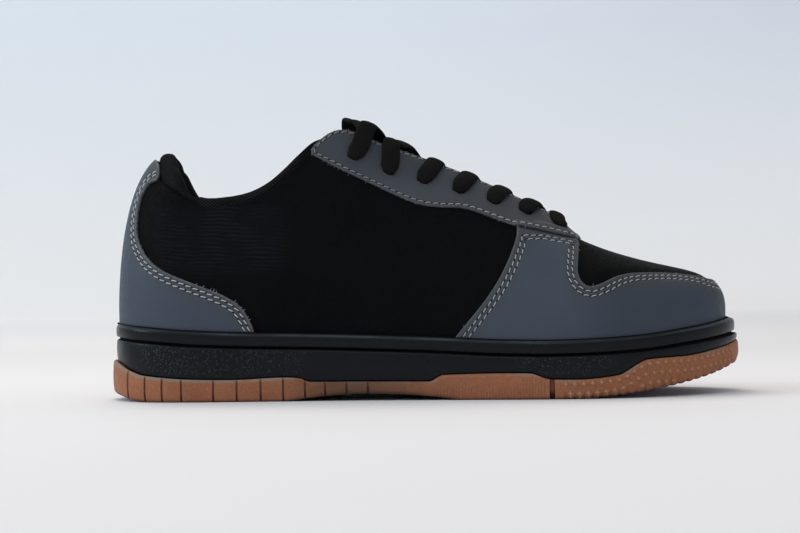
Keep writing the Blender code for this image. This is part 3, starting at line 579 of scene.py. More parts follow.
def thread():
    """Light twisted thread, soiled ahead of the collar and most at the back of the eyestay."""
    made, tree, shader = finish_tree("light grey thread")
    place = object_place(tree)
    twist = {"Vector": place, "Scale": 420.0, "Distortion": 1.5}
    ply = node(tree, "ShaderNodeTexWave", twist).outputs["Fac"]
    tone = blend(tree, noise(tree, place, 500.0), (0.38, 0.40, 0.42), (0.57, 0.59, 0.61))
    ahead = axis(tree, place, "X")
    past_collar = between(tree, ahead, -0.070, -0.050)
    soiled = product(tree, past_collar, between(tree, ahead, -0.02, 0.03, 0.55, 0.28))
    tone = blend(tree, soiled, tone, (0.02, 0.02, 0.022))
    set_inputs(tree, shader, {
        "Base Color": tone, "Roughness": 0.6, "Normal": bump(tree, ply, 0.06, 0.6),
    })
    return made


def black_rubber():
    """Moulded rubber: a satin rim with a painted highlight along its edge, painted shade in its seam and on
    its inner top, and a sidewall with patches of fine pebbles that carry painted glints.
    """
    made, tree, shader = finish_tree("black rubber")
    place = object_place(tree)
    tone = blend(tree, noise(tree, place, 40.0), (0.0032, 0.0047, 0.0066), (0.0046, 0.0064, 0.0088))
    pebbles = cells(tree, place, 1000.0)
    texture = attribute(tree, "pebbled")
    raised = product(tree, between(tree, pebbles, 0.10, 0.50, 1.0, 0.0), texture)
    # Painted glints: pale specks on the raised pebbles
    painted_glints = between(tree, noise(tree, place, 700.0, 2.0), 0.34, 0.66)
    tone = blend(tree, product(tree, painted_glints, raised), tone, (0.033, 0.039, 0.046))
    # Painted highlight: a lighter, bluer tone on the rows along the rim's rounded edge
    painted_light = attribute(tree, "painted_light")
    painted_highlight = between(tree, noise(tree, place, 55.0), 0.36, 0.60, 0.25, 1.0)
    painted_highlight = product(tree, between(tree, painted_light, 0.2, 0.9), painted_highlight)
    tone = blend(tree, painted_highlight, tone, (0.028, 0.037, 0.047))
    # Painted shade: the rows in the seam and on the rim's inner top are made nearly black
    hollow = between(tree, painted_light, -0.7, -0.2, 1.0, 0.0)
    tone = blend(tree, hollow, tone, (0.0007, 0.0008, 0.0010))
    roughness = between(tree, noise(tree, place, 160.0), 0.3, 0.7, 0.27, 0.38)
    fine = bump(tree, noise(tree, place, 2200.0), 0.03, 0.4)
    set_inputs(tree, shader, {
        "Base Color": tone, "Roughness": combine(tree, "MAXIMUM", roughness, hollow),
        "Specular IOR Level": 0.15,
        "Normal": bump(tree, raised, 0.25, 0.8, fine),
    })
    return made


def gum_rubber():
    """Brown rubber with pores: dusty along its upper edge, dark near the ground, darker under the arch from
    dust and painted shade, and with painted shade in its cuts.
    """
    made, tree, shader = finish_tree("gum rubber")
    place = object_place(tree)
    ahead, above = axis(tree, place, "X"), attribute(tree, "above_tread")
    tone = blend(tree, noise(tree, place, 70.0), (0.235, 0.080, 0.034), (0.345, 0.130, 0.058))
    pores = between(tree, cells(tree, place, 620.0), 0.05, 0.24, 1.0, 0.0)
    tone = blend(tree, product(tree, pores, noise(tree, place, 240.0)), tone, (0.095, 0.036, 0.020))
    grit = between(tree, noise(tree, place, 1500.0, 2.0), 0.56, 0.70, 0.0, 0.55)
    tone = blend(tree, grit, tone, (0.36, 0.225, 0.150))
    heel = between(tree, ahead, -0.09, -0.04, 0.22, 0.0)
    patchy = between(tree, combine(tree, "ADD", noise(tree, place, 150.0), heel), 0.40, 0.66)
    top = between(tree, attribute(tree, "below_top"), 0.2, 1.9, 1.0, 0.0)
    tone = blend(tree, product(tree, top, patchy), tone, (0.235, 0.180, 0.142))
    foot = between(tree, above, 0.0, 1.6, 0.7, 0.0)
    tone = blend(tree, foot, tone, (0.050, 0.022, 0.014))
    # Darker under the arch: partly dust, partly painted shade
    arch_end = between(tree, ahead, -0.034, 0.026, 1.0, 0.0)
    arch = product(tree, between(tree, ahead, -0.066, -0.036, 0.0, 0.62), arch_end)
    tone = blend(tree, arch, tone, (0.020, 0.018, 0.016))
    # Painted shade in the cuts, darkest near the ground
    painted_cut_shade = blend(tree, between(tree, above, 1.0, 5.0), (0.022, 0.009, 0.006), (0.120, 0.048, 0.027))
    tone = blend(tree, attribute(tree, "in_cut"), tone, painted_cut_shade)
    relief = combine(tree, "SUBTRACT", noise(tree, place, 1300.0), pores)
    set_inputs(tree, shader, {
        "Base Color": tone, "Roughness": between(tree, noise(tree, place, 300.0), 0.3, 0.7, 0.5, 0.66),
        "Specular IOR Level": 0.3, "Normal": bump(tree, relief, 0.10, 0.6),
    })
    return made


def stud_rubber():
    """The gum rubber of the small studs, whose tips are paler."""
    made, tree, shader = finish_tree("gum rubber with pale tips")
    place = object_place(tree)
    tone = blend(tree, noise(tree, place, 900.0), (0.235, 0.088, 0.040), (0.325, 0.132, 0.062))
    tone = blend(tree, between(tree, attribute(tree, "tip"), 0.0, 1.0), tone, (0.390, 0.200, 0.115))
    set_inputs(tree, shader, {
        "Base Color": tone, "Roughness": 0.55, "Specular IOR Level": 0.3,
        "Normal": bump(tree, noise(tree, place, 1600.0), 0.06, 0.5),
    })
    return made


def studio_paper():
    """Matte paper, paler in front and behind than in the middle, and cooler on its left, all as painted
    light and shade: painted shade on the floor just behind the shoe, painted light further back, and a
    sweep painted bluer and brighter on its left.
    """
    made, tree, shader = finish_tree("pale studio paper")
    place = object_place(tree)
    tone = blend(tree, noise(tree, place, 3.0), (0.82, 0.82, 0.855), (0.84, 0.84, 0.875))
    away = axis(tree, place, "Y")
    # Painted shade on the floor just behind the shoe, and painted light further back
    tone = blend(tree, between(tree, away, 0.05, 0.6), tone, (0.695, 0.70, 0.73))
    tone = blend(tree, between(tree, away, 1.1, 1.95), tone, (0.895, 0.895, 0.905))
    # Painted light: the sweep is painted bluer, and brighter on its left than on its right
    height = between(tree, axis(tree, place, "Z"), 0.0, 0.7)
    right = between(tree, axis(tree, place, "X"), -0.2, 1.0)
    tone = blend(tree, height, tone, blend(tree, right, (0.805, 0.87, 0.94), (0.655, 0.68, 0.775)))
    set_inputs(tree, shader, {
        "Base Color": tone, "Roughness": 0.75, "Specular IOR Level": 0.2,
        "Normal": bump(tree, noise(tree, place, 900.0), 0.04, 0.3),
    })
    return made


GREY_LEATHER = grey_leather()
BLACK_LEATHER = black_leather()
BLACK_RUBBER = black_rubber()
GUM_RUBBER = gum_rubber()
STUD_RUBBER = stud_rubber()
THREAD = thread()
LINING_CLOTH = woven("black mesh lining", (0.0030, 0.0031, 0.0033), (0.033, 0.035, 0.037), 1.7, 1.5, 0.35)
LACE_CLOTH = woven("black woven lace", (0.0058, 0.0058, 0.0060), (0.024, 0.023, 0.022), 0.9, 1.1, 0.25)
TONGUE_CLOTH = woven("black tongue cloth", (0.0045, 0.0046, 0.0050), (0.015, 0.015, 0.016), 0.8, 0.8, 0.2)
FOOTBED_CLOTH = woven("black footbed cloth", (0.006, 0.006, 0.006), (0.020, 0.020, 0.020), 0.9, 0.9, 0.2)
PAPER = studio_paper()


# Outlines and distances on the upper


def curve_through(knots, steps):
    """Points of a smooth open curve through the knots, with a number of steps for each span."""
    knots = np.array(knots, float)
    padded = np.vstack([2 * knots[0] - knots[1], knots, 2 * knots[-1] - knots[-2]])
    made = [knots[0]]
    for i, count in enumerate(steps):
        p0, p1, p2, p3 = padded[i:i + 4]
        for u in np.arange(1, count + 1) / count:
            made.append(0.5 * (
                2 * p1 + (p2 - p0) * u + (2 * p0 - 5 * p1 + 4 * p2 - p3) * u**2
                + (3 * p1 - p0 - 3 * p2 + p3) * u**3
            ))
    return made


def smooth_outline(rows):
    """An outline's rows as a smooth curve of points set close together."""
    lengths = np.linalg.norm(np.diff(np.array(rows, float), axis=0), axis=1)
    return curve_through(rows, [max(1, round(length / OUTLINE_STEP)) for length in lengths])


def counter_outline(edge):
    (top_x, _), (foot_x, _) = edge[0], edge[-1]
    behind = [(foot_x, OUTLINE_LOW), (OUTLINE_BEHIND, OUTLINE_LOW), (OUTLINE_BEHIND, OUTLINE_HIGH)]
    return smooth_outline(edge) + behind + [(top_x, OUTLINE_HIGH)]


def toe_outline(tuck):
    """The toe overlay, with its wing tucked a little way under the eyestay."""
    wing_x, notch_x = WING_EDGE[-1][0], NOTCH_EDGE[0][0]
    foot_x, notch_z = WING_EDGE[0][0], NOTCH_EDGE[-1][1]
    under = [(x, z + tuck) for x, z in EYESTAY_EDGE if wing_x + 1 < x < notch_x]
    corner = [(wing_x, under[0][1] + 0.5)]
    edge = smooth_outline(WING_EDGE) + corner + under + smooth_outline(NOTCH_EDGE)
    return edge + [(OUTLINE_AHEAD, notch_z), (OUTLINE_AHEAD, OUTLINE_LOW), (foot_x, OUTLINE_LOW)]


def eyestay_outline():
    (top_x, _), (front_x, _) = EYESTAY_EDGE[0], EYESTAY_EDGE[-1]
    return smooth_outline(EYESTAY_EDGE) + [(front_x, OUTLINE_HIGH), (top_x, OUTLINE_HIGH)]


def quarter_outline():
    corners = [
        (OUTLINE_AHEAD, OUTLINE_HIGH), (OUTLINE_AHEAD, OUTLINE_LOW),
        (OUTLINE_BEHIND, OUTLINE_LOW), (OUTLINE_BEHIND, QUARTER_EDGE[0][1]),
    ]
    return smooth_outline(QUARTER_EDGE) + corners


def outline_distance(outline):
    """The distance over the upper from an outline in the side view, positive inside it."""
    start = np.array(outline, float)
    along = np.roll(start, -1, axis=0) - start
    square = np.maximum((along**2).sum(axis=1), 1e-9)
    across = unit(np.column_stack([-along[:, 1], along[:, 0]]))

    def distance(s, h):
        points, normals = skin(s, h), skin_normals(s, h)
        found = np.empty(len(points))
        for part in np.array_split(np.arange(len(points)), 1 + len(points) // 20000):
            p = points[part][:, None, [0, 2]] - start
            t = np.clip((p * along).sum(axis=2) / square, 0, 1)
            gap = p - t[..., None] * along
            length = np.linalg.norm(gap, axis=2)
            nearest = length.argmin(axis=1)
            row = np.arange(len(part))
            least, gap = length[row, nearest], gap[row, nearest]
            straddles = (p[..., 1] < 0) != (p[..., 1] < along[:, 1])
            level = np.where(np.abs(along[:, 1]) < 1e-9, 1e-9, along[:, 1])
            before = p[..., 0] < p[..., 1] / level * along[:, 0]
            inside = (straddles & before).sum(axis=1) % 2 == 1
            direction = np.where(least[:, None] > 0.05, unit(gap), across[nearest])
            slant = (normals[part][:, [0, 2]] * direction).sum(axis=1)
            shortened = np.sqrt(np.maximum(1 - slant**2, 0.15))
            found[part] = np.where(inside, least, -least) / shortened
        return found

    return distance


def edge_distance(s, h):
    """How far a place lies below the collar's or throat's edge, measured over the upper."""
    top = skin(s, np.ones(len(s)))
    return np.sign(1 - h) * np.linalg.norm(top - skin(s, h), axis=1)


# Eyelets

# From the top eyelet to the toe: place along the shoe, and distance below the throat's edge
EYELET_X = (105.5, 120.2, 134.9, 149.6, 164.3, 177.8, 192.8)
EYELET_INSETS = (11.6, 12.2, 12.0, 11.4, 10.3, 8.8, 9.0)
EYELETS = len(EYELET_X)
EYELET_RADIUS = 2.2
Eyelet = namedtuple("Eyelet", "point normal edge")


def eyelet_places(side):
    """The eyelets of the outer side (-1) or inner side (1), from the top eyelet to the toe."""
    fine = Sections(np.linspace(THROAT_FROM * HALF, THROAT_TO * HALF, 600))
    h = np.linspace(0.6, 1, 120)
    surface = fine.wall(h)
    lengths = np.linalg.norm(np.diff(surface, axis=1), axis=2)[:, ::-1].cumsum(axis=1)[:, ::-1]
    found = []
    for i in range(EYELETS):
        row = np.abs(lengths - EYELET_INSETS[i]).argmin(axis=1)
        line = surface[np.arange(len(row)), row]
        k = np.abs(line[:, 0] - EYELET_X[i]).argmin()
        s = fine.s[k] if side < 0 else 2 * HALF - fine.s[k]
        here, height = Sections([s]), h[row[k]:row[k] + 1]
        point = here.wall(height)[0, 0]
        normal = here.wall(height, 1.0)[0, 0] - point
        edge = here.wall([1.0], OVERLAY_BASE + OVERLAY)[0, 0]
        found.append(Eyelet(point, normal, edge))
    return found


OUTER_EYELETS, INNER_EYELETS = eyelet_places(-1), eyelet_places(1)


def eyelet_distance(s, h):
    """The distance from the rim of the nearest eyelet, negative inside it."""
    points = skin(s, h)
    centres = np.array([e.point for e in OUTER_EYELETS + INNER_EYELETS])
    found = np.full(len(points), np.inf)
    for centre in centres:
        found = np.minimum(found, np.linalg.norm(points - centre, axis=1) - EYELET_RADIUS)
    return found


# Panels cut from the upper's own face

Sheet = namedtuple("Sheet", "s h distance faces loops")
# Grid points within this share of a step from a cut move onto it
SNAP = 0.25

# A distance for places that are off an outline or a row
FAR_OFF = 50.0

# Turns of a panel's rounded edge, in degrees
EDGE_TURNS = (25, 50, 72, 90)

# What a panel's cut side and underside carry in place of a distance inside its outline
CUT_SIDE, UNDERSIDE = -0.5, -2.0


def snapped(s, h, field, closed):
    """Moves grid points that lie close to the zero line onto it."""
    s, h, field = s.copy(), h.copy(), field.copy()
    best = np.full(field.shape, SNAP)
    target_s, target_h = s.copy(), h.copy()
    for way, step in ((0, 1), (0, -1), (1, 1), (1, -1)):
        other = np.roll(field, -step, axis=way)
        usable = (field * other) < 0
        border = [slice(None), slice(None)]
        border[way] = -1 if step > 0 else 0
        if way == 1 or not closed:
            usable[tuple(border)] = False
        part = np.abs(field) / np.maximum(np.abs(field) + np.abs(other), 1e-9)
        usable &= part < best
        neighbour_s = np.roll(s, -step, axis=way)
        if way == 0 and closed:
            neighbour_s[tuple(border)] += step * 2 * HALF
        neighbour_h = np.roll(h, -step, axis=way)
        target_s = np.where(usable, s + (neighbour_s - s) * part, target_s)
        target_h = np.where(usable, h + (neighbour_h - h) * part, target_h)
        best = np.where(usable, part, best)
    field[best < SNAP] = 0.0
    return target_s, target_h, field


def cut_sheet(s_values, h_values, distance, inset, closed=False):
    """The part of a grid over the upper that lies at least an inset inside a distance field."""
    s, h = np.meshgrid(s_values, h_values, indexing="ij")
    field = (distance(s.ravel(), h.ravel()) - inset).reshape(s.shape)
    s, h, field = snapped(s, h, field, closed)
    count, rows = field.shape
    flat_s, flat_h, flat = list(s.ravel()), list(h.ravel()), field.ravel()
    crossing = {}

    def crossing_point(a, b):
        key = (min(a, b), max(a, b))
        if key not in crossing:
            part = flat[a] / (flat[a] - flat[b])
            far_s = flat_s[b]
            if closed and abs(far_s - flat_s[a]) > HALF:
                far_s += math.copysign(2 * HALF, flat_s[a] - far_s)
            crossing[key] = len(flat_s)
            flat_s.append(flat_s[a] + (far_s - flat_s[a]) * part)
            flat_h.append(flat_h[a] + (flat_h[b] - flat_h[a]) * part)
        return crossing[key]

    quads = ring_faces(count, rows, False, closed)
    corner_values = flat[quads]
    whole = (corner_values >= 0).all(axis=1) & (corner_values > 0).any(axis=1)
    faces = quads[whole].tolist()
    partly = ~whole & (corner_values > 0).any(axis=1)
    for quad in quads[partly].tolist():
        outline = []
        for a, b in zip(quad, quad[1:] + quad[:1]):
            if flat[a] >= 0:
                outline.append(a)
            if flat[a] * flat[b] < 0:
                outline.append(crossing_point(a, b))
        faces.append(outline)
    used = sorted({k for face in faces for k in face})
    number = {k: i for i, k in enumerate(used)}
    faces = [[number[k] for k in face] for face in faces]
    s, h = np.array(flat_s)[used], np.array(flat_h)[used]
    return Sheet(s, h, distance(s, h), faces, border_loops(faces))


def border_loops(faces):
    """The closed loops of edges that only one face uses, each with the sheet on its left."""
    edges = {(a, b) for face in faces for a, b in zip(face, face[1:] + face[:1])}
    after = {a: b for a, b in edges if (b, a) not in edges}
    loops = []
    while after:
        start, here = after.popitem()
        loop = [start]
        while here != start and here in after:
            loop.append(here)
            here = after.pop(here)
        loops.append(loop)
    return loops


def panel(name, sheet, top, base, rounding, finish, replaces=(), seam=None):
    """A closed panel from a cut sheet: a top face, a rounded edge, a cut side and an underside.

    The sheet ends one rounding inside the outline, and the edge makes up the rest.
    """
    normals = skin_normals(sheet.s, sheet.h)
    ground = skin(sheet.s, sheet.h)
    high = ground + normals * top(sheet.s, sheet.h)[:, None]
    low = ground + normals * np.broadcast_to(base, sheet.s.shape)[:, None]
    points, faces = [high, low], list(sheet.faces)
    count = len(high)
    faces += [[k + count for k in reversed(face)] for face in sheet.faces]
    uv = [np.column_stack([sheet.s, ground[:, 2]])] * 2
    inside = [sheet.distance, np.full(count, UNDERSIDE)]
    offset = np.full(count, FAR_OFF) if seam is None else seam(sheet.s, sheet.h)
    total = 2 * count
    for loop in sheet.loops:
        loop = np.array(loop)
        size = len(loop)
        along = sum(np.roll(high[loop], -k, axis=0) - np.roll(high[loop], k, axis=0) for k in (1, 2))
        away = unit(np.cross(unit(along), normals[loop]))
        rings = []
        for turn in EDGE_TURNS:
            a = math.radians(turn)
            out, down = rounding * math.sin(a), rounding * (1 - math.cos(a))
            rings.append(high[loop] + away * out - normals[loop] * down)
        rings.append(low[loop] + away * rounding)
        before = loop
        for ring in rings:
            now = total + np.arange(size)
            faces += strip(before, now)
            points.append(ring)
            uv.append(uv[0][loop])
            inside.append(np.full(size, CUT_SIDE))
            total += size
            before = now
        faces += strip(before, loop + count)
    offset = np.concatenate([offset, np.full(total - count, FAR_OFF)])
    ripples = np.concatenate([rippled(sheet.s, sheet.h), np.zeros(total - count)])
    below = np.concatenate([-EYESTAY_SIDE_DISTANCE(sheet.s, sheet.h), np.full(total - count, FAR_OFF)])
    values = {
        "inside_edge": np.concatenate(inside), "row_offset": offset, "rippled": ripples,
        "below_eyestay": below,
    }
    return piece(name, np.vstack(points), faces, finish, np.vstack(uv), values, replaces)


def strip(first, second):
    """Quads between two closed rows of points, with the first row's sheet on its left."""
    ahead = np.roll(first, -1), np.roll(second, -1)
    return np.stack([ahead[0], first, second, ahead[1]], axis=1).tolist()


# Leather, lining and overlays

QUARTER_DISTANCE = outline_distance(quarter_outline())
COUNTER_DISTANCE = outline_distance(counter_outline(COUNTER_EDGE))
COUNTER_SEWN_DISTANCE = outline_distance(counter_outline(COUNTER_SEWN_EDGE))
TOE_DISTANCE = outline_distance(toe_outline(UNDER_EYESTAY))
TOE_SEWN_DISTANCE = outline_distance(toe_outline(-BELOW_EYESTAY))
EYESTAY_SIDE_DISTANCE = outline_distance(eyestay_outline())
FOOT_H = -0.05

# Distances of the rows of stitches inside each overlay's edge
TOE_ROWS = (2.4, 4.3)
COUNTER_ROWS = (1.85, 3.75)
EYESTAY_ROWS = (1.35,)
SEAM_DIP, SEAM_DIP_WIDTH = 0.22, 0.6

# How much the vamp stands up and where that starts, and the eyestay's rise where it lies over the wing
VAMP_FULLNESS, VAMP_START = 0.6, (198, 210)
OVER_WING = 0.8

# The leather's slight waves, and the share of a crease's length in which it fades at each end
WAVINESS = 0.10
CREASE_FADE = (-0.12, 0.25)

# Soft creases: both ends in the side view, depth (below 0 for a ridge) and half width
Crease = namedtuple("Crease", "start end depth width")
CREASES = [
    Crease((24.0, 80.0), (58.0, 80.5), 0.30, 1.3),
    Crease((22.0, 75.5), (66.0, 78.0), 0.34, 1.4),
    Crease((26.0, 71.5), (72.0, 75.0), 0.26, 1.3),
    Crease((19.0, 67.0), (60.0, 69.5), 0.32, 1.5),
    Crease((28.0, 63.0), (76.0, 67.5), 0.24, 1.4),
    Crease((24.0, 58.5), (62.0, 61.5), 0.28, 1.6),
    Crease((40.0, 54.0), (80.0, 59.0), 0.20, 1.6),
    Crease((86.0, 62.0), (122.0, 74.0), 0.25, 5.0),
    Crease((96.0, 46.0), (138.0, 52.0), -0.25, 7.0),
    Crease((176.0, 64.0), (194.0, 50.0), 0.22, 4.0),
    Crease((206.0, 60.0), (220.0, 52.0), 0.25, 3.5),
    Crease((222.0, 40.0), (250.0, 38.0), -0.20, 6.0),
]


def rippled(s, h):
    """Where the thin leather below the collar lies in fine ripples."""
    x, _, z = skin(s, h).T
    along = smoothstep(16, 26, x) * (1 - smoothstep(62, 84, x))
    return along * smoothstep(46, 62, z) * (1 - smoothstep(80, 84, z))


def leather_distance(s, h):
    throat = np.where(LAST(s)[:, 2] > 80, edge_distance(s, h), FAR_OFF)
    return np.minimum(np.minimum(QUARTER_DISTANCE(s, h), throat), eyelet_distance(s, h))


def eyestay_distance(s, h):
    return np.minimum(EYESTAY_SIDE_DISTANCE(s, h), edge_distance(s, h))


def eyestay_cut(s, h):
    return np.minimum(eyestay_distance(s, h), eyelet_distance(s, h))


def row_offset(distance, rows):
    """How far a place lies from the middle between the two rows of stitches."""
    def offset(s, h):
        return distance(s, h) - rows[-1] + ROW_HALF
    return offset


counter_seam = row_offset(COUNTER_SEWN_DISTANCE, COUNTER_ROWS)
toe_seam = row_offset(TOE_SEWN_DISTANCE, TOE_ROWS)
eyestay_seam = row_offset(eyestay_distance, EYESTAY_ROWS)


def seam_dip(seam, s, h):
    """The leather is drawn in along its rows of stitches."""
    to_row = np.abs(seam(s, h)) - ROW_HALF
    return -SEAM_DIP * np.exp(-((to_row / SEAM_DIP_WIDTH) ** 2))


def creased(s, h):
    """Soft troughs and ridges, and the slight waviness of soft leather."""
    p = skin(s, h)
    x, y, z = p.T
    found = WAVINESS * np.sin(x / 9.0 + 0.6 * np.sin(z / 7.0)) * np.sin(z / 11.0 + y / 23.0)
    for crease in CREASES:
        start, along = np.array(crease.start), np.subtract(crease.end, crease.start)
        flat = p[:, [0, 2]] - start
        share = (flat @ along) / (along @ along)
        away = np.abs(flat @ np.array([-along[1], along[0]])) / np.linalg.norm(along)
        fade = smoothstep(*CREASE_FADE, share) * smoothstep(*CREASE_FADE, 1 - share)
        found = found - crease.depth * fade * np.exp(-((away / crease.width) ** 2))
    return found


def leather_top(s, h):
    off_toe = smoothstep(0, 6, -TOE_DISTANCE(s, h))
    vamp = VAMP_FULLNESS * off_toe * smoothstep(*VAMP_START, skin(s, h)[:, 0])
    return (creased(s, h) + vamp) * smoothstep(0.0, 3.0, leather_distance(s, h))


def overlay_top(seam):
    """The height of an overlay's face over the upper."""
    def top(s, h):
        return OVERLAY_BASE + OVERLAY + seam_dip(seam, s, h) + creased(s, h)
    return top


def eyestay_top(s, h):
    over_wing = smoothstep(-2.0, 1.5, TOE_DISTANCE(s, h))
    return OVERLAY_BASE + OVERLAY * (1 + OVER_WING * over_wing) + seam_dip(eyestay_seam, s, h)


def make_leather():
    stations = np.linspace(0, 2 * HALF, 440, endpoint=False)
    sheet = cut_sheet(stations, np.linspace(FOOT_H, 1.0, 74), leather_distance, FOLD_ROUND, True)
    panel(
        "upper_leather", sheet, leather_top, -LEATHER, FOLD_ROUND,
        BLACK_LEATHER, ("upper",),
    )


Overlay = namedtuple("Overlay", "node cut sewn rows seam top stations heights")


def overlays():
    """The grey overlays, each with the stations and heights of the grid that it is cut from."""
    heel, wing, rear = station_at(72.0), station_at(136.0), station_at(82.0, 2)
    return [
        Overlay(
            "heel_counter", COUNTER_DISTANCE, COUNTER_SEWN_DISTANCE, COUNTER_ROWS,
            counter_seam, overlay_top(counter_seam), np.linspace(-heel, heel, 250),
            np.linspace(FOOT_H, 0.985, 110),
        ),
        Overlay(
            "toe_overlay", TOE_DISTANCE, TOE_SEWN_DISTANCE, TOE_ROWS,
            toe_seam, overlay_top(toe_seam), np.linspace(wing, 2 * HALF - wing, 400),
            np.linspace(FOOT_H, 0.86, 96),
        ),
        Overlay(
            "eyestay", eyestay_cut, eyestay_distance, EYESTAY_ROWS,
            eyestay_seam, eyestay_top, np.linspace(rear, 2 * HALF - rear, 440),
            np.linspace(0.5, 1.0, 84),
        ),
    ]


def make_overlays():
    for overlay in overlays():
        sheet = cut_sheet(overlay.stations, overlay.heights, overlay.cut, EDGE_ROUND)
        panel(
            f"{overlay.node}_leather", sheet, overlay.top, OVERLAY_BASE, EDGE_ROUND,
            GREY_LEATHER, (overlay.node,), overlay.seam,
        )
        make_stitches(overlay)


# Stitches

STITCH_PITCH = 3.15
STITCH_LENGTH = 2.2
STITCH_SLANT = math.radians(9)
THREAD_RADIUS = 0.25
STITCH_ARCH = 0.34
STITCH_SINK = 0.16

# A row is sewn this far inside the cut, within this of its line, and only where it has so many stitches
SEWN_INSIDE = 0.7
ROW_TOLERANCE = 0.2
FEWEST_STITCHES = 3
BELOW_RIM = 0.5


def sewing_lines(overlay, row):
    """Runs of places along one row of stitches, without the parts on the rim of the grid."""
    sheet = cut_sheet(overlay.stations, overlay.heights, overlay.sewn, row)
    runs = []
    for loop in sheet.loops:
        loop = np.array(loop)
        s, h = sheet.s[loop], sheet.h[loop]
        above_rim = skin(s, h)[:, 2] > seam_height(LAST(s)[:, 0]) + RIM_HEIGHT - BELOW_RIM
        on_overlay = overlay.cut(s, h) > min(SEWN_INSIDE, row - ROW_TOLERANCE)
        good = (np.abs(sheet.distance[loop] - row) < ROW_TOLERANCE) & above_rim & on_overlay
        if good.all():
            runs.append((np.append(s, s[0]), np.append(h, h[0])))
            continue
        first = int(np.argmin(good))
        s, h, good = (np.roll(v, -first) for v in (s, h, good))
        ends = np.flatnonzero(np.diff(np.concatenate([[0], good.astype(int), [0]])))
        runs += [(s[a:b], h[a:b]) for a, b in zip(ends[::2], ends[1::2])]
    return runs


Places = namedtuple("Places", "point along up")


def joined(parts):
    return Places(*(np.vstack(part) for part in zip(*parts)))


def row_places(overlay, row, pitch):
    """Places on an overlay at an even pitch along a row, each with the row's and surface's direction."""
    found = []
    for s, h in sewing_lines(overlay, row):
        line = skin(s, h)
        length = run_length(line)
        count = int(length[-1] / pitch)
        if count < FEWEST_STITCHES:
            continue
        at = (np.arange(count) + 0.5) * length[-1] / count
        here_s, here_h = np.interp(at, length, s), np.interp(at, length, h)
        normals = skin_normals(here_s, here_h)
        behind, ahead = (
            np.column_stack([np.interp(at + d, length, values) for values in line.T]) for d in (-1, 1)
        )
        points = skin(here_s, here_h) + normals * overlay.top(here_s, here_h)[:, None]
        found.append(Places(points, unit(ahead - behind), normals))
    return joined(found)


def make_stitches(overlay):
    """Rows of stitches: an arched thread, set along each row at an even pitch."""
    rows = joined([row_places(overlay, row, STITCH_PITCH) for row in overlay.rows])
    across = np.cross(rows.up, rows.along)
    slanted = rows.along * math.cos(STITCH_SLANT) + across * math.sin(STITCH_SLANT)
    places = rows._replace(along=slanted)
    sizes = {
        "Length": STITCH_LENGTH, "Thread radius": THREAD_RADIUS, "Arch": STITCH_ARCH, "Sink": STITCH_SINK,
    }
    scattered(f"{overlay.node}_stitches", places, stitch_shape, sizes, THREAD)


# Loose fibres: where they stand, their size, how they lie, and the places from one tuft to the next
FIBRE_ROW, FIBRE_PITCH, FIBRE_SHARE, FIBRE_SEED = 0.3, 1.6, 0.32, 7
FIBRE_LENGTH, FIBRE_RADIUS, FIBRE_ARCH = 1.5, 0.055, 0.22
FIBRE_SWAY, FIBRE_RISE, FIBRE_REACH, FIBRE_DROP = 0.7, 0.5, (0.2, 0.7), 0.35
TUFT_STEP = 8


def make_fibres():
    """Loose fibres along the raw edges of the overlays, in tufts."""
    chance = np.random.default_rng(FIBRE_SEED)
    found = []
    for overlay in overlays():
        edge = row_places(overlay, FIBRE_ROW, FIBRE_PITCH)
        count = len(edge.point)
        knots = np.arange(0, count + TUFT_STEP, TUFT_STEP)
        tufts = np.interp(np.arange(count), knots, chance.random(len(knots)))
        kept = chance.random(count) < 2 * FIBRE_SHARE * tufts**2
        point, forward, up = (vectors[kept] for vectors in edge)
        sway = chance.normal(0.0, FIBRE_SWAY, (len(point), 1))
        rise = chance.uniform(-FIBRE_RISE, FIBRE_RISE, (len(point), 1))
        along = unit(np.cross(forward, up) + forward * sway + up * rise)
        reach = chance.uniform(*FIBRE_REACH, (len(point), 1))
        found.append(Places(point + along * reach - up * FIBRE_DROP, along, up))
    sizes = {"Length": FIBRE_LENGTH, "Thread radius": FIBRE_RADIUS, "Arch": FIBRE_ARCH, "Sink": 0.0}
    scattered("edge_fibres", joined(found), stitch_shape, sizes, THREAD)


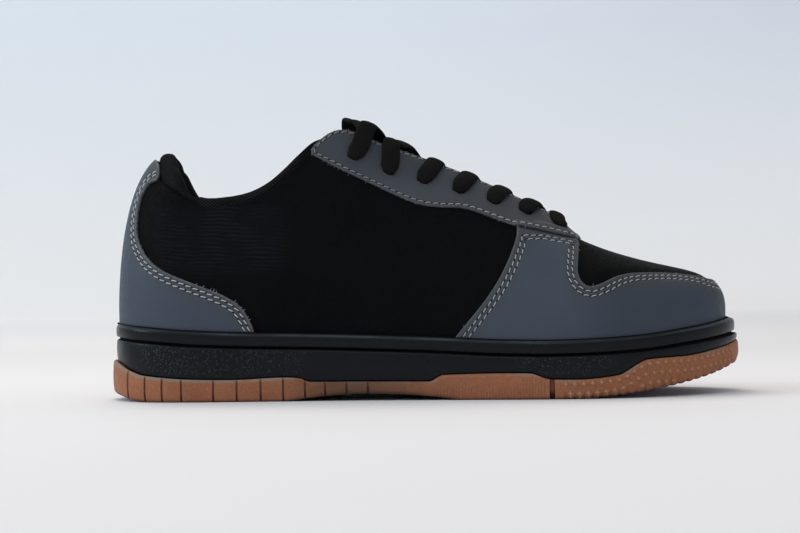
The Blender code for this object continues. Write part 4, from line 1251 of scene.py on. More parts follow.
def scattered(name, places, shape, sizes, finish):
    """Copies of a small shape set out by Geometry Nodes, each turned to its own direction and surface."""
    mesh = bpy.data.meshes.new(name)
    mesh.from_pydata(to_frame(places.point).tolist(), [], [])
    for key, vectors in (("along", places.along), ("up", places.up)):
        made = mesh.attributes.new(key, "FLOAT_VECTOR", "POINT")
        made.data.foreach_set("vector", np.asarray(vectors, np.float32).ravel())
    carrier = bpy.data.objects.new(name, mesh)
    bpy.context.scene.collection.objects.link(carrier)
    tree = bpy.data.node_groups.new(name, "GeometryNodeTree")
    add_socket = tree.interface.new_socket
    add_socket("Geometry", in_out="OUTPUT", socket_type="NodeSocketGeometry")
    kinds = {"Geometry": "NodeSocketGeometry"}
    kinds.update({key: "NodeSocketFloat" for key in sizes})
    kinds["Finish"] = "NodeSocketMaterial"
    sockets = {key: add_socket(key, in_out="INPUT", socket_type=kind) for key, kind in kinds.items()}
    given = tree.nodes.new("NodeGroupInput").outputs
    along, up = (
        node(tree, "GeometryNodeInputNamedAttribute", {"Name": key}, data_type="FLOAT_VECTOR")
        for key in ("along", "up")
    )
    turn = node(
        tree, "FunctionNodeAlignRotationToVector", {"Vector": along.outputs["Attribute"]}, axis="X",
    )
    turn = node(
        tree, "FunctionNodeAlignRotationToVector",
        {"Rotation": turn.outputs["Rotation"], "Vector": up.outputs["Attribute"]}, axis="Z", pivot_axis="X",
    )
    copies = node(tree, "GeometryNodeInstanceOnPoints", {
        "Points": given["Geometry"], "Instance": shape(tree, given), "Rotation": turn.outputs["Rotation"],
    })
    real = node(tree, "GeometryNodeRealizeInstances", {"Geometry": copies.outputs["Instances"]})
    painted = node(tree, "GeometryNodeSetMaterial", {
        "Geometry": real.outputs["Geometry"], "Material": given["Finish"],
    })
    node(tree, "NodeGroupOutput", {"Geometry": painted.outputs["Geometry"]})
    modifier = carrier.modifiers.new("copies", "NODES")
    modifier.node_group = tree
    for key, size in sizes.items():
        modifier[sockets[key].identifier] = size * MM
    modifier[sockets["Finish"].identifier] = finish
    evaluated = carrier.evaluated_get(bpy.context.evaluated_depsgraph_get())
    carrier.data = bpy.data.meshes.new_from_object(evaluated)
    carrier.modifiers.clear()
    carrier.data.shade_smooth()
    return dressed(carrier)


def stitch_shape(tree, given):
    """One stitch: a thread that comes up, runs along the leather and goes down again."""
    half = product(tree, given["Length"], 0.5)
    back = product(tree, half, -1.0)
    low = product(tree, given["Sink"], -1.0)
    high = product(tree, given["Arch"], 2.0)
    ends = [
        node(tree, "ShaderNodeCombineXYZ", {"X": x, "Z": low}).outputs["Vector"] for x in (back, half)
    ]
    top = node(tree, "ShaderNodeCombineXYZ", {"Z": high}).outputs["Vector"]
    path = node(
        tree, "GeometryNodeCurveQuadraticBezier",
        {"Resolution": 5, "Start": ends[0], "Middle": top, "End": ends[1]},
    )
    ring = node(tree, "GeometryNodeCurvePrimitiveCircle", {
        "Resolution": 6, "Radius": given["Thread radius"],
    })
    swept = node(tree, "GeometryNodeCurveToMesh", {
        "Curve": path.outputs["Curve"], "Profile Curve": ring.outputs["Curve"], "Fill Caps": True,
    })
    return swept.outputs["Mesh"]


# How much higher than the plain roll the lining's padding stands, as (x of the collar's edge, height)
LINING_FILL = [
    (20.0, -0.9), (22.0, -0.7), (24.0, -0.8), (25.5, -0.6), (28.0, -0.4), (31.0, 0.9), (34.0, -0.9),
    (36.5, -2.2), (41.0, 0.8), (46.0, 1.5), (50.0, 1.2), (55.0, 0.5), (62.0, 0.1), (70.0, 0.5),
    (76.0, 1.3), (82.0, 2.0), (87.0, 2.0), (93.0, 0.3), (100.0, 0.0),
]
lining_fill = smooth_line(LINING_FILL)

# Where along the edge the collar's padding, the upright part of its roll and the heel tab run out
COLLAR_FADE, UPRIGHT_FADE, TAB_FADE = (84.0, 93.0), (22.0, 44.0), (22.0, 34.0)

# How far the roll and the heel tab are set upright, and the tab's lip and bulge
ROLL_UPRIGHT, HEEL_TAB_UPRIGHT = 1.6, 6.0
HEEL_TAB_LIP, HEEL_TAB_BULGE = 1.5, 0.12
HEEL_FILL, HEEL_FILL_WIDTH = 1.2, 6.0

# How round the roll's section is: 1 is an ellipse, and less is squarer
ROLL_SQUARE, HEEL_TAB_SQUARE = 0.85, 0.8
ROLL_STEPS = 17


def leather_edge_height(around):
    """For each station, the height at which the leather gives way to the lining."""
    h = np.linspace(0.6, 1.0, 160)
    s, grid = np.meshgrid(around.s, h, indexing="ij")
    inside = QUARTER_DISTANCE(s.ravel(), grid.ravel()).reshape(s.shape) > 0
    first_out = np.where(inside.all(axis=1), len(h) - 1, (~inside).argmax(axis=1))
    return h[first_out]


def collar_roll(around, outer_end, inner_end, collar):
    """The lining's padded roll, from its outer end over the top to its inner end."""
    tangent = unit(around.wall([1.0])[:, 0] - around.wall([0.97])[:, 0])
    upright = 1 - smoothstep(*UPRIGHT_FADE, around.edge[:, 0])
    tab = 1 - smoothstep(*TAB_FADE, around.edge[:, 0])
    lip = inner_end + HEEL_TAB_LIP * tab[:, None] * tangent
    middle, side = (outer_end + lip) / 2, (outer_end - lip) / 2
    straighten = ROLL_UPRIGHT * upright + HEEL_TAB_UPRIGHT * tab
    top = unit(tangent + straighten[:, None] * np.array([0.0, 0.0, 1.0]))
    top *= (around.roll * (0.45 + 0.55 * collar))[:, None]
    top[:, 2] += lining_fill(around.edge[:, 0])
    turns = np.linspace(0, math.pi, ROLL_STEPS)[None, 1:-1]
    square = (ROLL_SQUARE + (HEEL_TAB_SQUARE - ROLL_SQUARE) * upright)[:, None]
    out = np.sign(np.cos(turns)) * np.abs(np.cos(turns)) ** square
    rise = np.sin(turns) ** square
    fuller = out * (1 + HEEL_TAB_BULGE * tab[:, None] * rise)
    roll = middle[:, None] + side[:, None] * fuller[..., None] + top[:, None] * rise[..., None]
    roll[..., 2] -= tab[:, None] * rise * side[:, 2:] * out
    return roll


def make_lining():
    """The collar's padded lining: up from under the leather, over the roll and down inside."""
    around = Sections(np.linspace(0, 2 * HALF, 460, endpoint=False))
    collar = 1 - smoothstep(*COLLAR_FADE, around.edge[:, 0])
    edge_h = leather_edge_height(around)
    steps = np.linspace(0, 1, 8)
    hidden_h = edge_h[:, None] * np.linspace(0.0, 0.97, 7)[None, :]
    hidden = around.wall(hidden_h, -LINING_UNDER)
    band_h = edge_h[:, None] + (1 - edge_h)[:, None] * steps[None, :] ** 1.2
    below = np.linalg.norm(around.wall(band_h) - around.wall(edge_h[:, None]), axis=2)
    bulge = -LINING_UNDER + (LINING_UNDER - 0.1) * smoothstep(-0.5, 2.4, below)
    bulge = collar[:, None] * bulge - (1 - collar)[:, None] * LINING_UNDER
    band = around.wall(band_h, bulge)
    inner_h = 1 - (1 - np.linspace(0, 1, 26)) ** 1.3
    inner = around.wall(inner_h, -around.thickness(inner_h))[:, ::-1]
    from_back = np.minimum(around.s, 2 * HALF - around.s)
    filled = np.exp(-(from_back / HEEL_FILL_WIDTH) ** 2)[:, None] * smoothstep(0.5, 1.0, inner_h[::-1])
    inner[..., 0] += HEEL_FILL * filled
    roll = collar_roll(around, band[:, -1], inner[:, 0], collar)
    bottom = floor_height(around.foot[:, 0]) + GAP
    foot_inner = around.around(-TUCK_IN - WALL, bottom)[:, None]
    foot_outer = around.around(-TUCK_IN - LINING_UNDER, bottom)[:, None]
    loops = np.concatenate([foot_outer, hidden, band, roll, inner, foot_inner], axis=1)
    lengths = np.linalg.norm(np.diff(loops, axis=1), axis=2).cumsum(axis=1)
    up = np.concatenate([np.zeros((len(loops), 1)), lengths], axis=1)
    uv = np.stack([np.broadcast_to(around.s[:, None], up.shape), up], axis=2).reshape(-1, 2)
    faces = ring_faces(*loops.shape[:2], True)
    made = piece(
        "collar_lining", loops.reshape(-1, 3), faces, LINING_CLOTH, uv, None, ("upper",),
    )


# Sole


def half_stations(step, extra=()):
    """Stations for a plate that is closed across the shoe: each on the outer side has a partner."""
    half = np.union1d(np.linspace(0, HALF, round(HALF / step) + 1), np.asarray(extra, float))
    half = half[np.append(True, np.diff(half) > 0.02)]
    half[-1] = HALF
    return np.concatenate([half, 2 * HALF - half[-2:0:-1]])


def plate(name, profile, finish, replaces, low_rows=None, values=None, crease=50):
    """A solid from a profile at each station, closed across the shoe at both ends of the profile.

    Rows of points, where given, shape the closing of its last end, which is the lower one.
    """
    stations, per_loop = profile.shape[:2]
    half = stations // 2
    partner = -np.arange(half + 1) % stations
    points, faces = [profile.reshape(-1, 3)], ring_faces(stations, per_loop, False).tolist()
    total = stations * per_loop
    for row, across in ((0, None), (per_loop - 1, low_rows)):
        columns = [np.arange(half + 1) * per_loop + row]
        for k in range(0 if across is None else across.shape[1]):
            columns.append(total + np.arange(half + 1))
            points.append(across[:, k])
            total += half + 1
        columns.append(partner * per_loop + row)
        for a, b in zip(columns[:-1], columns[1:]):
            quads = np.stack([a[:-1], a[1:], b[1:], b[:-1]], axis=1)[:, ::-1 if row else 1]
            faces += [list(dict.fromkeys(quad)) for quad in quads.tolist()]
    faces = [face for face in faces if len(face) > 2]
    spare = total - stations * per_loop
    measures = {
        key: np.append(numbers.ravel(), np.full(spare, beyond))
        for key, (numbers, beyond) in (values or {}).items()
    }
    points = np.vstack(points)
    return piece(name, points, faces, finish, points[:, :2], measures, replaces, crease)


# Stretches of the cup's wall that carry a pebbled texture: start and end of each along the shoe
PEBBLED = ((17.0, 84.0), (172.0, 212.0))
PEBBLED_START_FADE, PEBBLED_END_FADE = 4, 6

# How far in the cup's wall stands at the heel, where that fades, and how far the wall bellies out
HEEL_WALL_IN, HEEL_WALL_FADE = 0.3, (8, 45)
WALL_BELLY = 0.3

# Painted light on a band of rows of the cup's profile: painted shade, none, or a painted highlight
HOLLOW, PLAIN, HIGHLIGHTED = -1.0, 0.0, 1.0


def make_cupsole():
    """The black cup: a rounded rim, a seam under it, the sidewall, and a floor for the upper."""
    around = Sections(half_stations(1.2))
    x = around.foot[:, 0]
    rim_out = around.welt
    wall_out = rim_out - HEEL_WALL_IN + (WALL_STEP + HEEL_WALL_IN) * smoothstep(*HEEL_WALL_FADE, x)
    rim, seam, gum = seam_height(x) + RIM_HEIGHT, seam_height(x), gum_height(x)
    turns = np.radians(np.linspace(0, 90, 6))
    low, high = gum + GAP + WALL_EDGE, seam - SEAM_WIDTH / 2
    rim_low, bevel = seam + SEAM_WIDTH / 2, rim - RIM_BEVEL
    foot_rows = [(-CORE_INSET, core_height(x) + GAP), (wall_out - WALL_EDGE - 0.6, gum + GAP)]
    foot_rows += [
        (wall_out - WALL_EDGE * (1 - math.sin(a)), gum + GAP + WALL_EDGE * (1 - math.cos(a))) for a in turns
    ]
    wall_rows = [
        (wall_out + WALL_BELLY * math.sin(math.pi * u), low + (high - low) * u)
        for u in np.linspace(0.08, 0.95, 9)
    ]
    shoulder_rows = [(wall_out - 0.1, high - 0.15)]
    seam_rows = [
        (wall_out - 0.45, high),
        (wall_out - SEAM_DEPTH, seam - SEAM_WIDTH * 0.35),
        (wall_out - SEAM_DEPTH, seam + SEAM_WIDTH * 0.35),
        (rim_out - 0.45, rim_low),
    ]
    rim_rows = [
        (rim_out - 0.12, rim_low + 0.12),
        (rim_out, rim_low + 0.45),
        (rim_out + 0.12, seam + 0.40 * RIM_HEIGHT),
        (rim_out + 0.12, seam + 0.52 * RIM_HEIGHT),
        (rim_out + 0.05, bevel - 0.6),
        (rim_out - 0.06, bevel - 0.1),
    ]
    edge_rows = [(rim_out - 0.3, bevel + 0.35), (rim_out - 0.62, bevel + 0.72)]
    inside_rows = [
        (RIM_INSIDE + 0.75, rim - 0.22),
        (RIM_INSIDE + 0.3, rim - 0.05),
        (RIM_INSIDE, rim - 0.45),
        (RIM_INSIDE, rim - TUCK_DOWN),
        (-TUCK_IN, floor_height(x)),
    ]
    bands = (
        (foot_rows, PLAIN), (wall_rows, PLAIN), (shoulder_rows, PLAIN), (seam_rows, HOLLOW),
        (rim_rows, PLAIN), (edge_rows, HIGHLIGHTED), (inside_rows, HOLLOW),
    )
    profile = around.profile([row for rows, _ in bands for row in rows])
    # Each row's painted shade or painted highlight, for the rubber's colour
    painted_light = np.tile([tone_shift for rows, tone_shift in bands for _ in rows], (len(x), 1))
    pebbled = sum(
        smoothstep(start - PEBBLED_START_FADE, start + PEBBLED_START_FADE, x)
        * (1 - smoothstep(end - PEBBLED_END_FADE, end + PEBBLED_END_FADE, x))
        for start, end in PEBBLED
    )
    texture = np.zeros(profile.shape[:2])
    texture[:, len(foot_rows):len(foot_rows) + len(wall_rows)] = pebbled[:, None]
    plate(
        "cupsole_rubber", profile, BLACK_RUBBER, ("cupsole",),
        values={"pebbled": (texture, 0.0), "painted_light": (painted_light, 0.0)},
    )


def core_height(x):
    """The meeting plane of cup and outsole, away from the sole's edge."""
    return tread_height(x) + CORE_RISE


# Cuts that part the heel's edge into blocks, as places along the shoe
BLOCK_CUTS = (8.6, 16.4, 23.9, 32.2, 45.7, 55.5, 65.5, 74.9, 84.0, 92.4, 101.3, 110.2)
BLOCK_CUT_WIDTH, BLOCK_CUT_DEPTH = 0.75, 0.6
SLOT_X, SLOT_WIDTH, SLOT_DEPTH = 186.0, 1.9, 2.6
RIBS_FROM, RIBS_TO, RIB_PITCH, RIB_DEPTH = 128.0, 184.0, 1.25, 0.30
RIBS_FADE_IN, RIBS_FADE_OUT = 14, 1

# The height of the ribs' top as a share of the gum's height, and how it rises to the front
RIB_TOP, RIB_TOP_RISE, RIB_TOP_FADE = 0.45, 0.4, (168, 182)
GUM_BELLY = 0.35
STUD_PITCH, STUD_ROW = 3.7, 3.9
STUD_FIRST_ROW, STUD_LOWEST, STUD_FRONT = 1.9, 1.8, 0.9
STUD_RADIUS, STUD_HEIGHT, STUD_WAIST = 1.9, 0.85, 0.6
STUD_ROWS = 4
TOOTH_HEIGHT = 0.42
FOREFOOT_X, TEETH_TO = 188.0, 263.0


def groove(x, middle, width):
    """1 in a groove with steep sides, 0 outside it."""
    return 1 - smoothstep(width * 0.32, width * 0.62, np.abs(x - middle))


def side_cut(x):
    """How deep the side of the outsole is cut at each place along the shoe."""
    found = SLOT_DEPTH * groove(x, SLOT_X, SLOT_WIDTH)
    for middle in BLOCK_CUTS:
        found = np.maximum(found, BLOCK_CUT_DEPTH * groove(x, middle, BLOCK_CUT_WIDTH))
    return found


def teeth(x):
    """The notched lower edge of the forefoot: 1 between two teeth, 0 on a tooth."""
    wave = 0.5 - 0.5 * np.cos(2 * math.pi * (x - SLOT_X) / STUD_PITCH)
    return smoothstep(0, 3, x - FOREFOOT_X) * wave**2


def outsole_stations():
    """Close steps at each cut's sides, the ribs and the forefoot's teeth, and even steps elsewhere."""
    marks = [
        np.arange(RIBS_FROM, RIBS_TO, RIB_PITCH / 4), np.arange(FOREFOOT_X, TEETH_TO, STUD_PITCH / 8),
    ]
    sides = np.array([-0.75, -0.62, -0.52, -0.42, -0.32, 0, 0.32, 0.42, 0.52, 0.62, 0.75])
    marks += [middle + BLOCK_CUT_WIDTH * sides for middle in BLOCK_CUTS] + [SLOT_X + SLOT_WIDTH * sides]
    fine = Sections(np.linspace(0, HALF, 4000))
    return half_stations(0.9, np.interp(np.concatenate(marks), gum_edge_x(fine), fine.s))


def gum_edge_x(around):
    """The place along the shoe of the gum's outer face at each station."""
    return around.around(around.welt + GUM_STEP, 0.0)[:, 0]


def gum_side(around, share):
    """How far out the gum's side stands at a share of its height, before any cut."""
    belly = GUM_BELLY * np.sin(math.pi * np.clip(share, 0, 1))
    return around.welt + GUM_STEP - GUM_BELLY + belly


def make_outsole():
    """The gum outsole: its edge climbs the cup in steps, and cuts part the heel's edge into blocks."""
    around = Sections(outsole_stations())
    x, side_x = around.foot[:, 0], gum_edge_x(around)
    gum, tread = gum_height(x), tread_height(x)
    tooth = teeth(side_x)
    notched = tread + TOOTH_HEIGHT * tooth
    depth = side_cut(side_x)
    ribbed = smoothstep(0, RIBS_FADE_IN, side_x - RIBS_FROM)
    ribbed *= smoothstep(0, RIBS_FADE_OUT, RIBS_TO - side_x)
    rib_top = RIB_TOP + RIB_TOP_RISE * smoothstep(*RIB_TOP_FADE, side_x)
    rib = RIB_DEPTH * ribbed * (0.5 - 0.5 * np.cos(2 * math.pi * side_x / RIB_PITCH))
    top = around.welt + GUM_STEP
    rows = [
        (-CORE_INSET, core_height(x)),
        (top - 1.6, gum - 0.02),
        (top - 1.1, gum),
        (top - 0.75 - 0.3 * depth, gum - 0.06),
        (top - 0.48 - 0.6 * depth, gum - 0.28),
    ]
    for share in (0.92, 0.82, 0.7, 0.55, 0.42, 0.32, 0.24):
        cut = depth * (1 - 0.3 * smoothstep(0.75, 0.95, share))
        lower = 1 - smoothstep(rib_top - 0.15, rib_top + 0.1, share)
        out = gum_side(around, share) - cut - rib * lower - 0.3 * tooth * (1 - smoothstep(0.2, 0.4, share))
        rows.append((out, tread + share * (gum - tread)))
    turn = gum_side(around, 0.15) - depth - rib
    rows += [
        (turn - 0.15 - 0.4 * tooth, notched + 1.0),
        (turn - 0.55 - 0.4 * tooth, notched + 0.35),
        (turn - 1.2 - 0.2 * tooth, notched + 0.05),
        (turn - 2.4, notched),
        (turn - 5.0, notched),
    ]
    profile = around.profile(rows)
    half = len(around.s) // 2 + 1
    near, far = profile[:half, -1], profile[-np.arange(half) % len(around.s), -1]
    across = near[:, None] + (far - near)[:, None] * np.linspace(0, 1, 16)[None, 1:-1, None]
    flat_x = across[..., 0]
    across[..., 2] = tread_height(flat_x) + side_cut(flat_x) + TOOTH_HEIGHT * teeth(flat_x)
    below_top = gum[:, None] - profile[..., 2]
    below_top[:, :2] = FAR_OFF
    above_tread = profile[..., 2] - notched[:, None]
    # Where the cuts carry painted shade: less of it high in the slot and near the gum's top
    in_cut = (depth / BLOCK_CUT_DEPTH).clip(0, 1)[:, None] * np.ones(above_tread.shape)
    in_slot = np.abs(side_x - SLOT_X) < SLOT_WIDTH
    in_cut[in_slot] *= 1 - 0.75 * smoothstep(2.0, 4.5, above_tread[in_slot])
    in_cut *= 0.4 + 0.6 * smoothstep(0.0, 1.3, np.abs(below_top))
    plate(
        "outsole_gum", profile, GUM_RUBBER, ("outsole",), across,
        {"below_top": (below_top, FAR_OFF), "above_tread": (above_tread, 0.0), "in_cut": (in_cut, 0.0)},
    )
    make_studs()


def make_studs():
    """Rows of small stars on the side of the forefoot, each row set off from the last by half a step."""
    places, directions, ups = [], [], []
    fine = np.linspace(station_at(FOREFOOT_X + 2), 2 * HALF - station_at(FOREFOOT_X + 2), 4000)
    around = Sections(fine)
    x = around.foot[:, 0]
    gum, tread = gum_height(x), tread_height(x)
    for row in range(STUD_ROWS):
        z = gum - STUD_FIRST_ROW - row * STUD_ROW
        share = (z - tread) / (gum - tread)
        line = around.around(gum_side(around, share), z)
        length = run_length(line)
        at = np.arange(STUD_PITCH * (1 + row % 2) / 2, length[-1], STUD_PITCH)
        k = np.searchsorted(length, at).clip(1, len(fine) - 2)
        k = k[((z - tread)[k] > STUD_LOWEST) & (around.normal[k, 0] < STUD_FRONT)]
        places.append(line[k])
        directions.append(unit(line[k + 1] - line[k - 1]))
        ups.append(np.column_stack([around.normal[k], np.zeros(len(k))]))
    points = joined(zip(places, directions, ups))
    sizes = {"Radius": STUD_RADIUS, "Waist": STUD_WAIST * STUD_RADIUS, "Height": STUD_HEIGHT}
    made = scattered("outsole_studs", points, star_shape, sizes, STUD_RUBBER)
    made.data.set_sharp_from_angle(angle=math.radians(25))


def star_shape(tree, given):
    """A star with four points: two thin pyramids across each other."""
    arms = []
    for long_axis in ("X", "Y"):
        cone = node(tree, "GeometryNodeMeshCone", {
            "Vertices": 4, "Radius Bottom": 1.0, "Radius Top": 0.12, "Depth": given["Height"],
        })
        size = {"X": given["Waist"], "Y": given["Waist"], "Z": 1.0}
        size[long_axis] = given["Radius"]
        scale = node(tree, "ShaderNodeCombineXYZ", size)
        arms.append(node(tree, "GeometryNodeTransform", {
            "Geometry": cone.outputs["Mesh"], "Scale": scale.outputs["Vector"],
        }).outputs["Geometry"])
    star = node(tree, "GeometryNodeJoinGeometry")
    for arm in arms:
        tree.links.new(arm, star.inputs["Geometry"])
    local = node(tree, "GeometryNodeInputPosition").outputs["Position"]
    tip = combine(tree, "DIVIDE", axis(tree, local, "Z"), given["Height"])
    marked = node(
        tree, "GeometryNodeStoreNamedAttribute",
        {"Geometry": star.outputs["Geometry"], "Name": "tip", "Value": tip},
        data_type="FLOAT", domain="POINT",
    )
    return marked.outputs["Geometry"]


# The footbed's gap to the upper's wall, and its bevel
INSOLE_CLEAR, INSOLE_EDGE = 0.4, 1.0


def make_insole():
    """The footbed, which lies on the cup's floor inside the upper."""
    around = Sections(half_stations(3.0))
    x = around.foot[:, 0]
    inset = TUCK_IN + WALL + INSOLE_CLEAR
    low = floor_height(x) + GAP
    high = low + INSOLE_THICKNESS
    rows = [
        (-inset - INSOLE_EDGE, low), (-inset, low + INSOLE_EDGE), (-inset, high - INSOLE_EDGE),
        (-inset - 0.3, high - 0.3), (-inset - INSOLE_EDGE, high), (-inset - 4.0, high - 0.3),
    ]
    profile = around.profile(rows)
    plate("footbed", profile[:, ::-1], FOOTBED_CLOTH, ("insole",))


# Tongue and lace

TONGUE_THICKNESS = 4.0
TONGUE_TOP_X, TONGUE_FOOT_X = 95.0, 184.0
TONGUE_UNDER, TONGUE_SHOWING = 15.0, 1.5
TONGUE_CROWN = 1.2
TONGUE_CLEAR = 0.8
TONGUE_ROWS, TONGUE_HALF_COLUMNS = 60, 12
TONGUE_RIM_SHARE = 0.3


def throat_station(x):
    """The station on the outer side whose throat edge lies at x."""
    fine = np.linspace(THROAT_FROM, THROAT_TO, 2000) * HALF
    return np.interp(x, LAST(fine)[:, 2], fine)


def tongue_arch(s):
    """Points across the tongue at one station, from under the outer eyestay to under the inner one."""
    h = np.linspace(0.55, 1, 160)
    sides = []
    for station in (s, 2 * HALF - s):
        here = Sections([station])
        inside = here.wall(h, -here.thickness(h) - TONGUE_CLEAR)[0]
        down = np.linalg.norm(np.diff(inside, axis=0), axis=1)[::-1].cumsum()[::-1]
        wanted = np.linspace(TONGUE_UNDER, TONGUE_SHOWING, TONGUE_HALF_COLUMNS)
        sides.append([inside[np.abs(down - w).argmin()] for w in wanted])
    left, right = np.array(sides[0]), np.array(sides[1][::-1])
    start, end = left[-1], right[0]
    shares = np.linspace(0, 1, 9)[1:-1]
    crown = start + (end - start) * shares[:, None]
    crown[:, 2] += TONGUE_CROWN * np.sin(math.pi * shares)
    return np.vstack([left, crown, right])


def make_tongue():
    """A padded strip under the throat, which starts under the vamp and ends at the top eyelets."""
    ends = throat_station(TONGUE_TOP_X), throat_station(TONGUE_FOOT_X)
    top = np.array([tongue_arch(s) for s in np.linspace(*ends, TONGUE_ROWS)])
    normal = unit(np.cross(np.gradient(top, axis=0), np.gradient(top, axis=1)))
    normal *= np.where(normal[..., 2:] < 0, -1, 1)
    rows, columns = top.shape[:2]
    side = np.sqrt(1 - np.linspace(-1, 1, columns) ** 8)
    end = np.sqrt(1 - np.linspace(-1, 1, rows) ** 16)
    fullness = TONGUE_RIM_SHARE + (1 - TONGUE_RIM_SHARE) * side[None, :] * end[:, None]
    middle = top - normal * TONGUE_THICKNESS / 2
    lift = normal * (TONGUE_THICKNESS / 2 * fullness)[..., None]
    loops = np.concatenate([middle + lift, (middle - lift)[:, ::-1]], axis=1)
    faces = ring_faces(rows, 2 * columns, True, False).tolist()
    for row in (0, rows - 1):
        first = row * 2 * columns
        for k in range(columns - 1):
            cap = [first + k, first + k + 1, first + 2 * columns - 2 - k, first + 2 * columns - 1 - k]
            faces.append(cap if row else cap[::-1])
    across = np.linalg.norm(np.diff(loops, axis=1), axis=2).cumsum(axis=1)
    along = np.linalg.norm(np.diff(loops, axis=0), axis=2).cumsum(axis=0)
    uv = np.stack([
        np.concatenate([np.zeros((rows, 1)), across], axis=1),
        np.concatenate([np.zeros((1, 2 * columns)), along], axis=0),
    ], axis=2).reshape(-1, 2)
    made = piece(
        "tongue_pad", loops.reshape(-1, 3), faces, TONGUE_CLOTH, uv, None, ("tongue",),
    )


LACE_WIDTH, LACE_THICKNESS = 7.8, 2.0
LACE_CROWN = 0.5
LACE_STAND = OVERLAY_BASE + OVERLAY + LACE_THICKNESS / 2 + 0.35
LACE_UNDER = WALL + LACE_THICKNESS / 2 + 0.3
LACE_STEP = 0.55
LACE_ROUND = 18
LACE_SQUARE = 2.8
HOLE_WIDTH, HOLE_THICKNESS = 0.5, 1.3
CROSSING_LIFT = 1.1
BAR_LEAN, BAR_WIDTH = -1.0, 0.92

# The height of the foot's middle, which the lace's crown faces away from
FOOT_CORE_HEIGHT = 45.0

# For each strand from the top eyelet down: how far it leans to the toe at the near edge, how far
# ahead it meets the far edge, how loose it lies there, and how high it stands at the crossing
Strand = namedtuple("Strand", "lean ahead lift loft", defaults=(0.0,))
OUTER_STRANDS = (
    Strand(6.0, 13.5, 4.4, 3.2), Strand(1.4, 13.0, 1.4, 2.0), Strand(5.4, 8.5, -0.6),
    Strand(5.0, 8.0, -0.6), Strand(4.6, 8.0, -0.4), Strand(4.0, 8.0, 0.0),
)
INNER_STRANDS = (
    Strand(-2.6, 8.0, 4.6, 2.4), Strand(3.0, 9.0, 0.6, 0.4), Strand(4.6, 8.0, -0.6),
    Strand(4.6, 8.0, -0.6), Strand(4.4, 8.0, -0.6), Strand(4.2, 8.0, -0.6),
)
Knot = namedtuple("Knot", "place width thickness")


def throat_edge(side, x, offset):
    """A place on the throat's edge at x, on the outer side (-1) or inner side (1)."""
    s = throat_station(x)
    return Sections([s if side < 0 else 2 * HALF - s]).wall([1.0], offset)[0, 0]


def through_eyelet(eyelet, lean):
    """The lace from inside the shoe, out through an eyelet and up towards the throat."""
    up = unit(eyelet.edge - eyelet.point)
    up = unit(up - eyelet.normal * (up @ eyelet.normal))
    ahead = np.array([lean / 9.0, 0.0, 0.0])
    rise = unit(up + ahead)
    p, n = eyelet.point, eyelet.normal
    return [
        Knot(p - n * LACE_UNDER + up * 5.0, 1.0, 1.0),
        Knot(p - n * (LACE_UNDER - 0.4) + up * 1.2, 0.75, 1.1),
        Knot(p - n * 0.9 - up * 0.1, HOLE_WIDTH, HOLE_THICKNESS),
        Knot(p + n * 0.9 - rise * 0.6, 0.48, HOLE_THICKNESS),
        Knot(p + n * LACE_STAND * 0.92 - rise * 0.8, 0.70, 1.1),
        Knot(p + n * LACE_STAND + rise * 1.6, 0.97, 1.0),
        Knot(p + n * LACE_STAND + rise * 4.2, 1.0, 1.0),
    ]


def strand(i, side):
    """The lace from inside eyelet i on one side to under the other side's edge, below eyelet i + 1."""
    eyelets, strands = (OUTER_EYELETS, OUTER_STRANDS) if side < 0 else (INNER_EYELETS, INNER_STRANDS)
    x = eyelets[i].point[0]
    lean, ahead, lift, loft = strands[i]
    raised = np.array([0.0, 0.0, lift])
    over = throat_edge(side, x + lean, LACE_STAND) + raised
    under = throat_edge(-side, x + ahead, -LACE_UNDER)
    deeper = throat_edge(-side, x + ahead + 1.5, -LACE_UNDER) + np.array([0.0, -side * 3.0, -3.0])
    on_top = CROSSING_LIFT if (i + (side > 0)) % 2 else -CROSSING_LIFT
    inward = over + (under - over) * 0.2 + np.array([0.0, 0.0, 0.6 + 0.5 * loft])
    middle = (over + under) / 2 + np.array([0.0, 0.0, 0.9 + on_top + loft])
    free = [Knot(place, 1.0, 1.0) for place in (over, inward, middle, under, deeper)]
    return through_eyelet(eyelets[i], lean) + free


def lace_knots():
    """The whole lace: up one zigzag to the bar next to the toe, and back along the other one."""
    halves = []
    for first_side in (-1, 1):
        knots = []
        for i in range(EYELETS - 1):
            knots += strand(i, first_side if i % 2 == 0 else -first_side)
        last = (OUTER_EYELETS if first_side < 0 else INNER_EYELETS)[-1]
        for knot in through_eyelet(last, BAR_LEAN):
            knots.append(knot._replace(width=BAR_WIDTH * knot.width))
        edge = throat_edge(first_side, last.point[0] + BAR_LEAN, LACE_STAND)
        knots.append(Knot(edge, BAR_WIDTH, 1.0))
        halves.append(knots[1:])
    bar = (halves[0][-1].place + halves[1][-1].place) / 2
    return halves[0] + [Knot(bar, BAR_WIDTH, 1.0)] + halves[1][::-1]


def cord_through(knots, step):
    """Places along a curve that passes each knot without swinging wide of it, and the knots' shares."""
    places = np.array([k.place for k in knots])
    shares = np.array([[k.width, k.thickness] for k in knots])
    gaps = np.sqrt(np.linalg.norm(np.diff(places, axis=0), axis=1))
    t = np.append(0.0, gaps.cumsum())
    slopes = np.gradient(places, t, axis=0)
    made, made_shares = [], []
    for i in range(len(places) - 1):
        span = t[i + 1] - t[i]
        count = max(2, round(np.linalg.norm(places[i + 1] - places[i]) / step))
        u = (np.arange(count) / count)[:, None]
        made.append(
            (1 + 2 * u) * (1 - u) ** 2 * places[i] + u * (1 - u) ** 2 * span * slopes[i]
            + u * u * (3 - 2 * u) * places[i + 1] + u * u * (u - 1) * span * slopes[i + 1]
        )
        soft = u * u * (3 - 2 * u)
        made_shares.append(shares[i] * (1 - soft) + shares[i + 1] * soft)
    return np.vstack(made + [places[-1:]]), np.vstack(made_shares + [shares[-1:]])


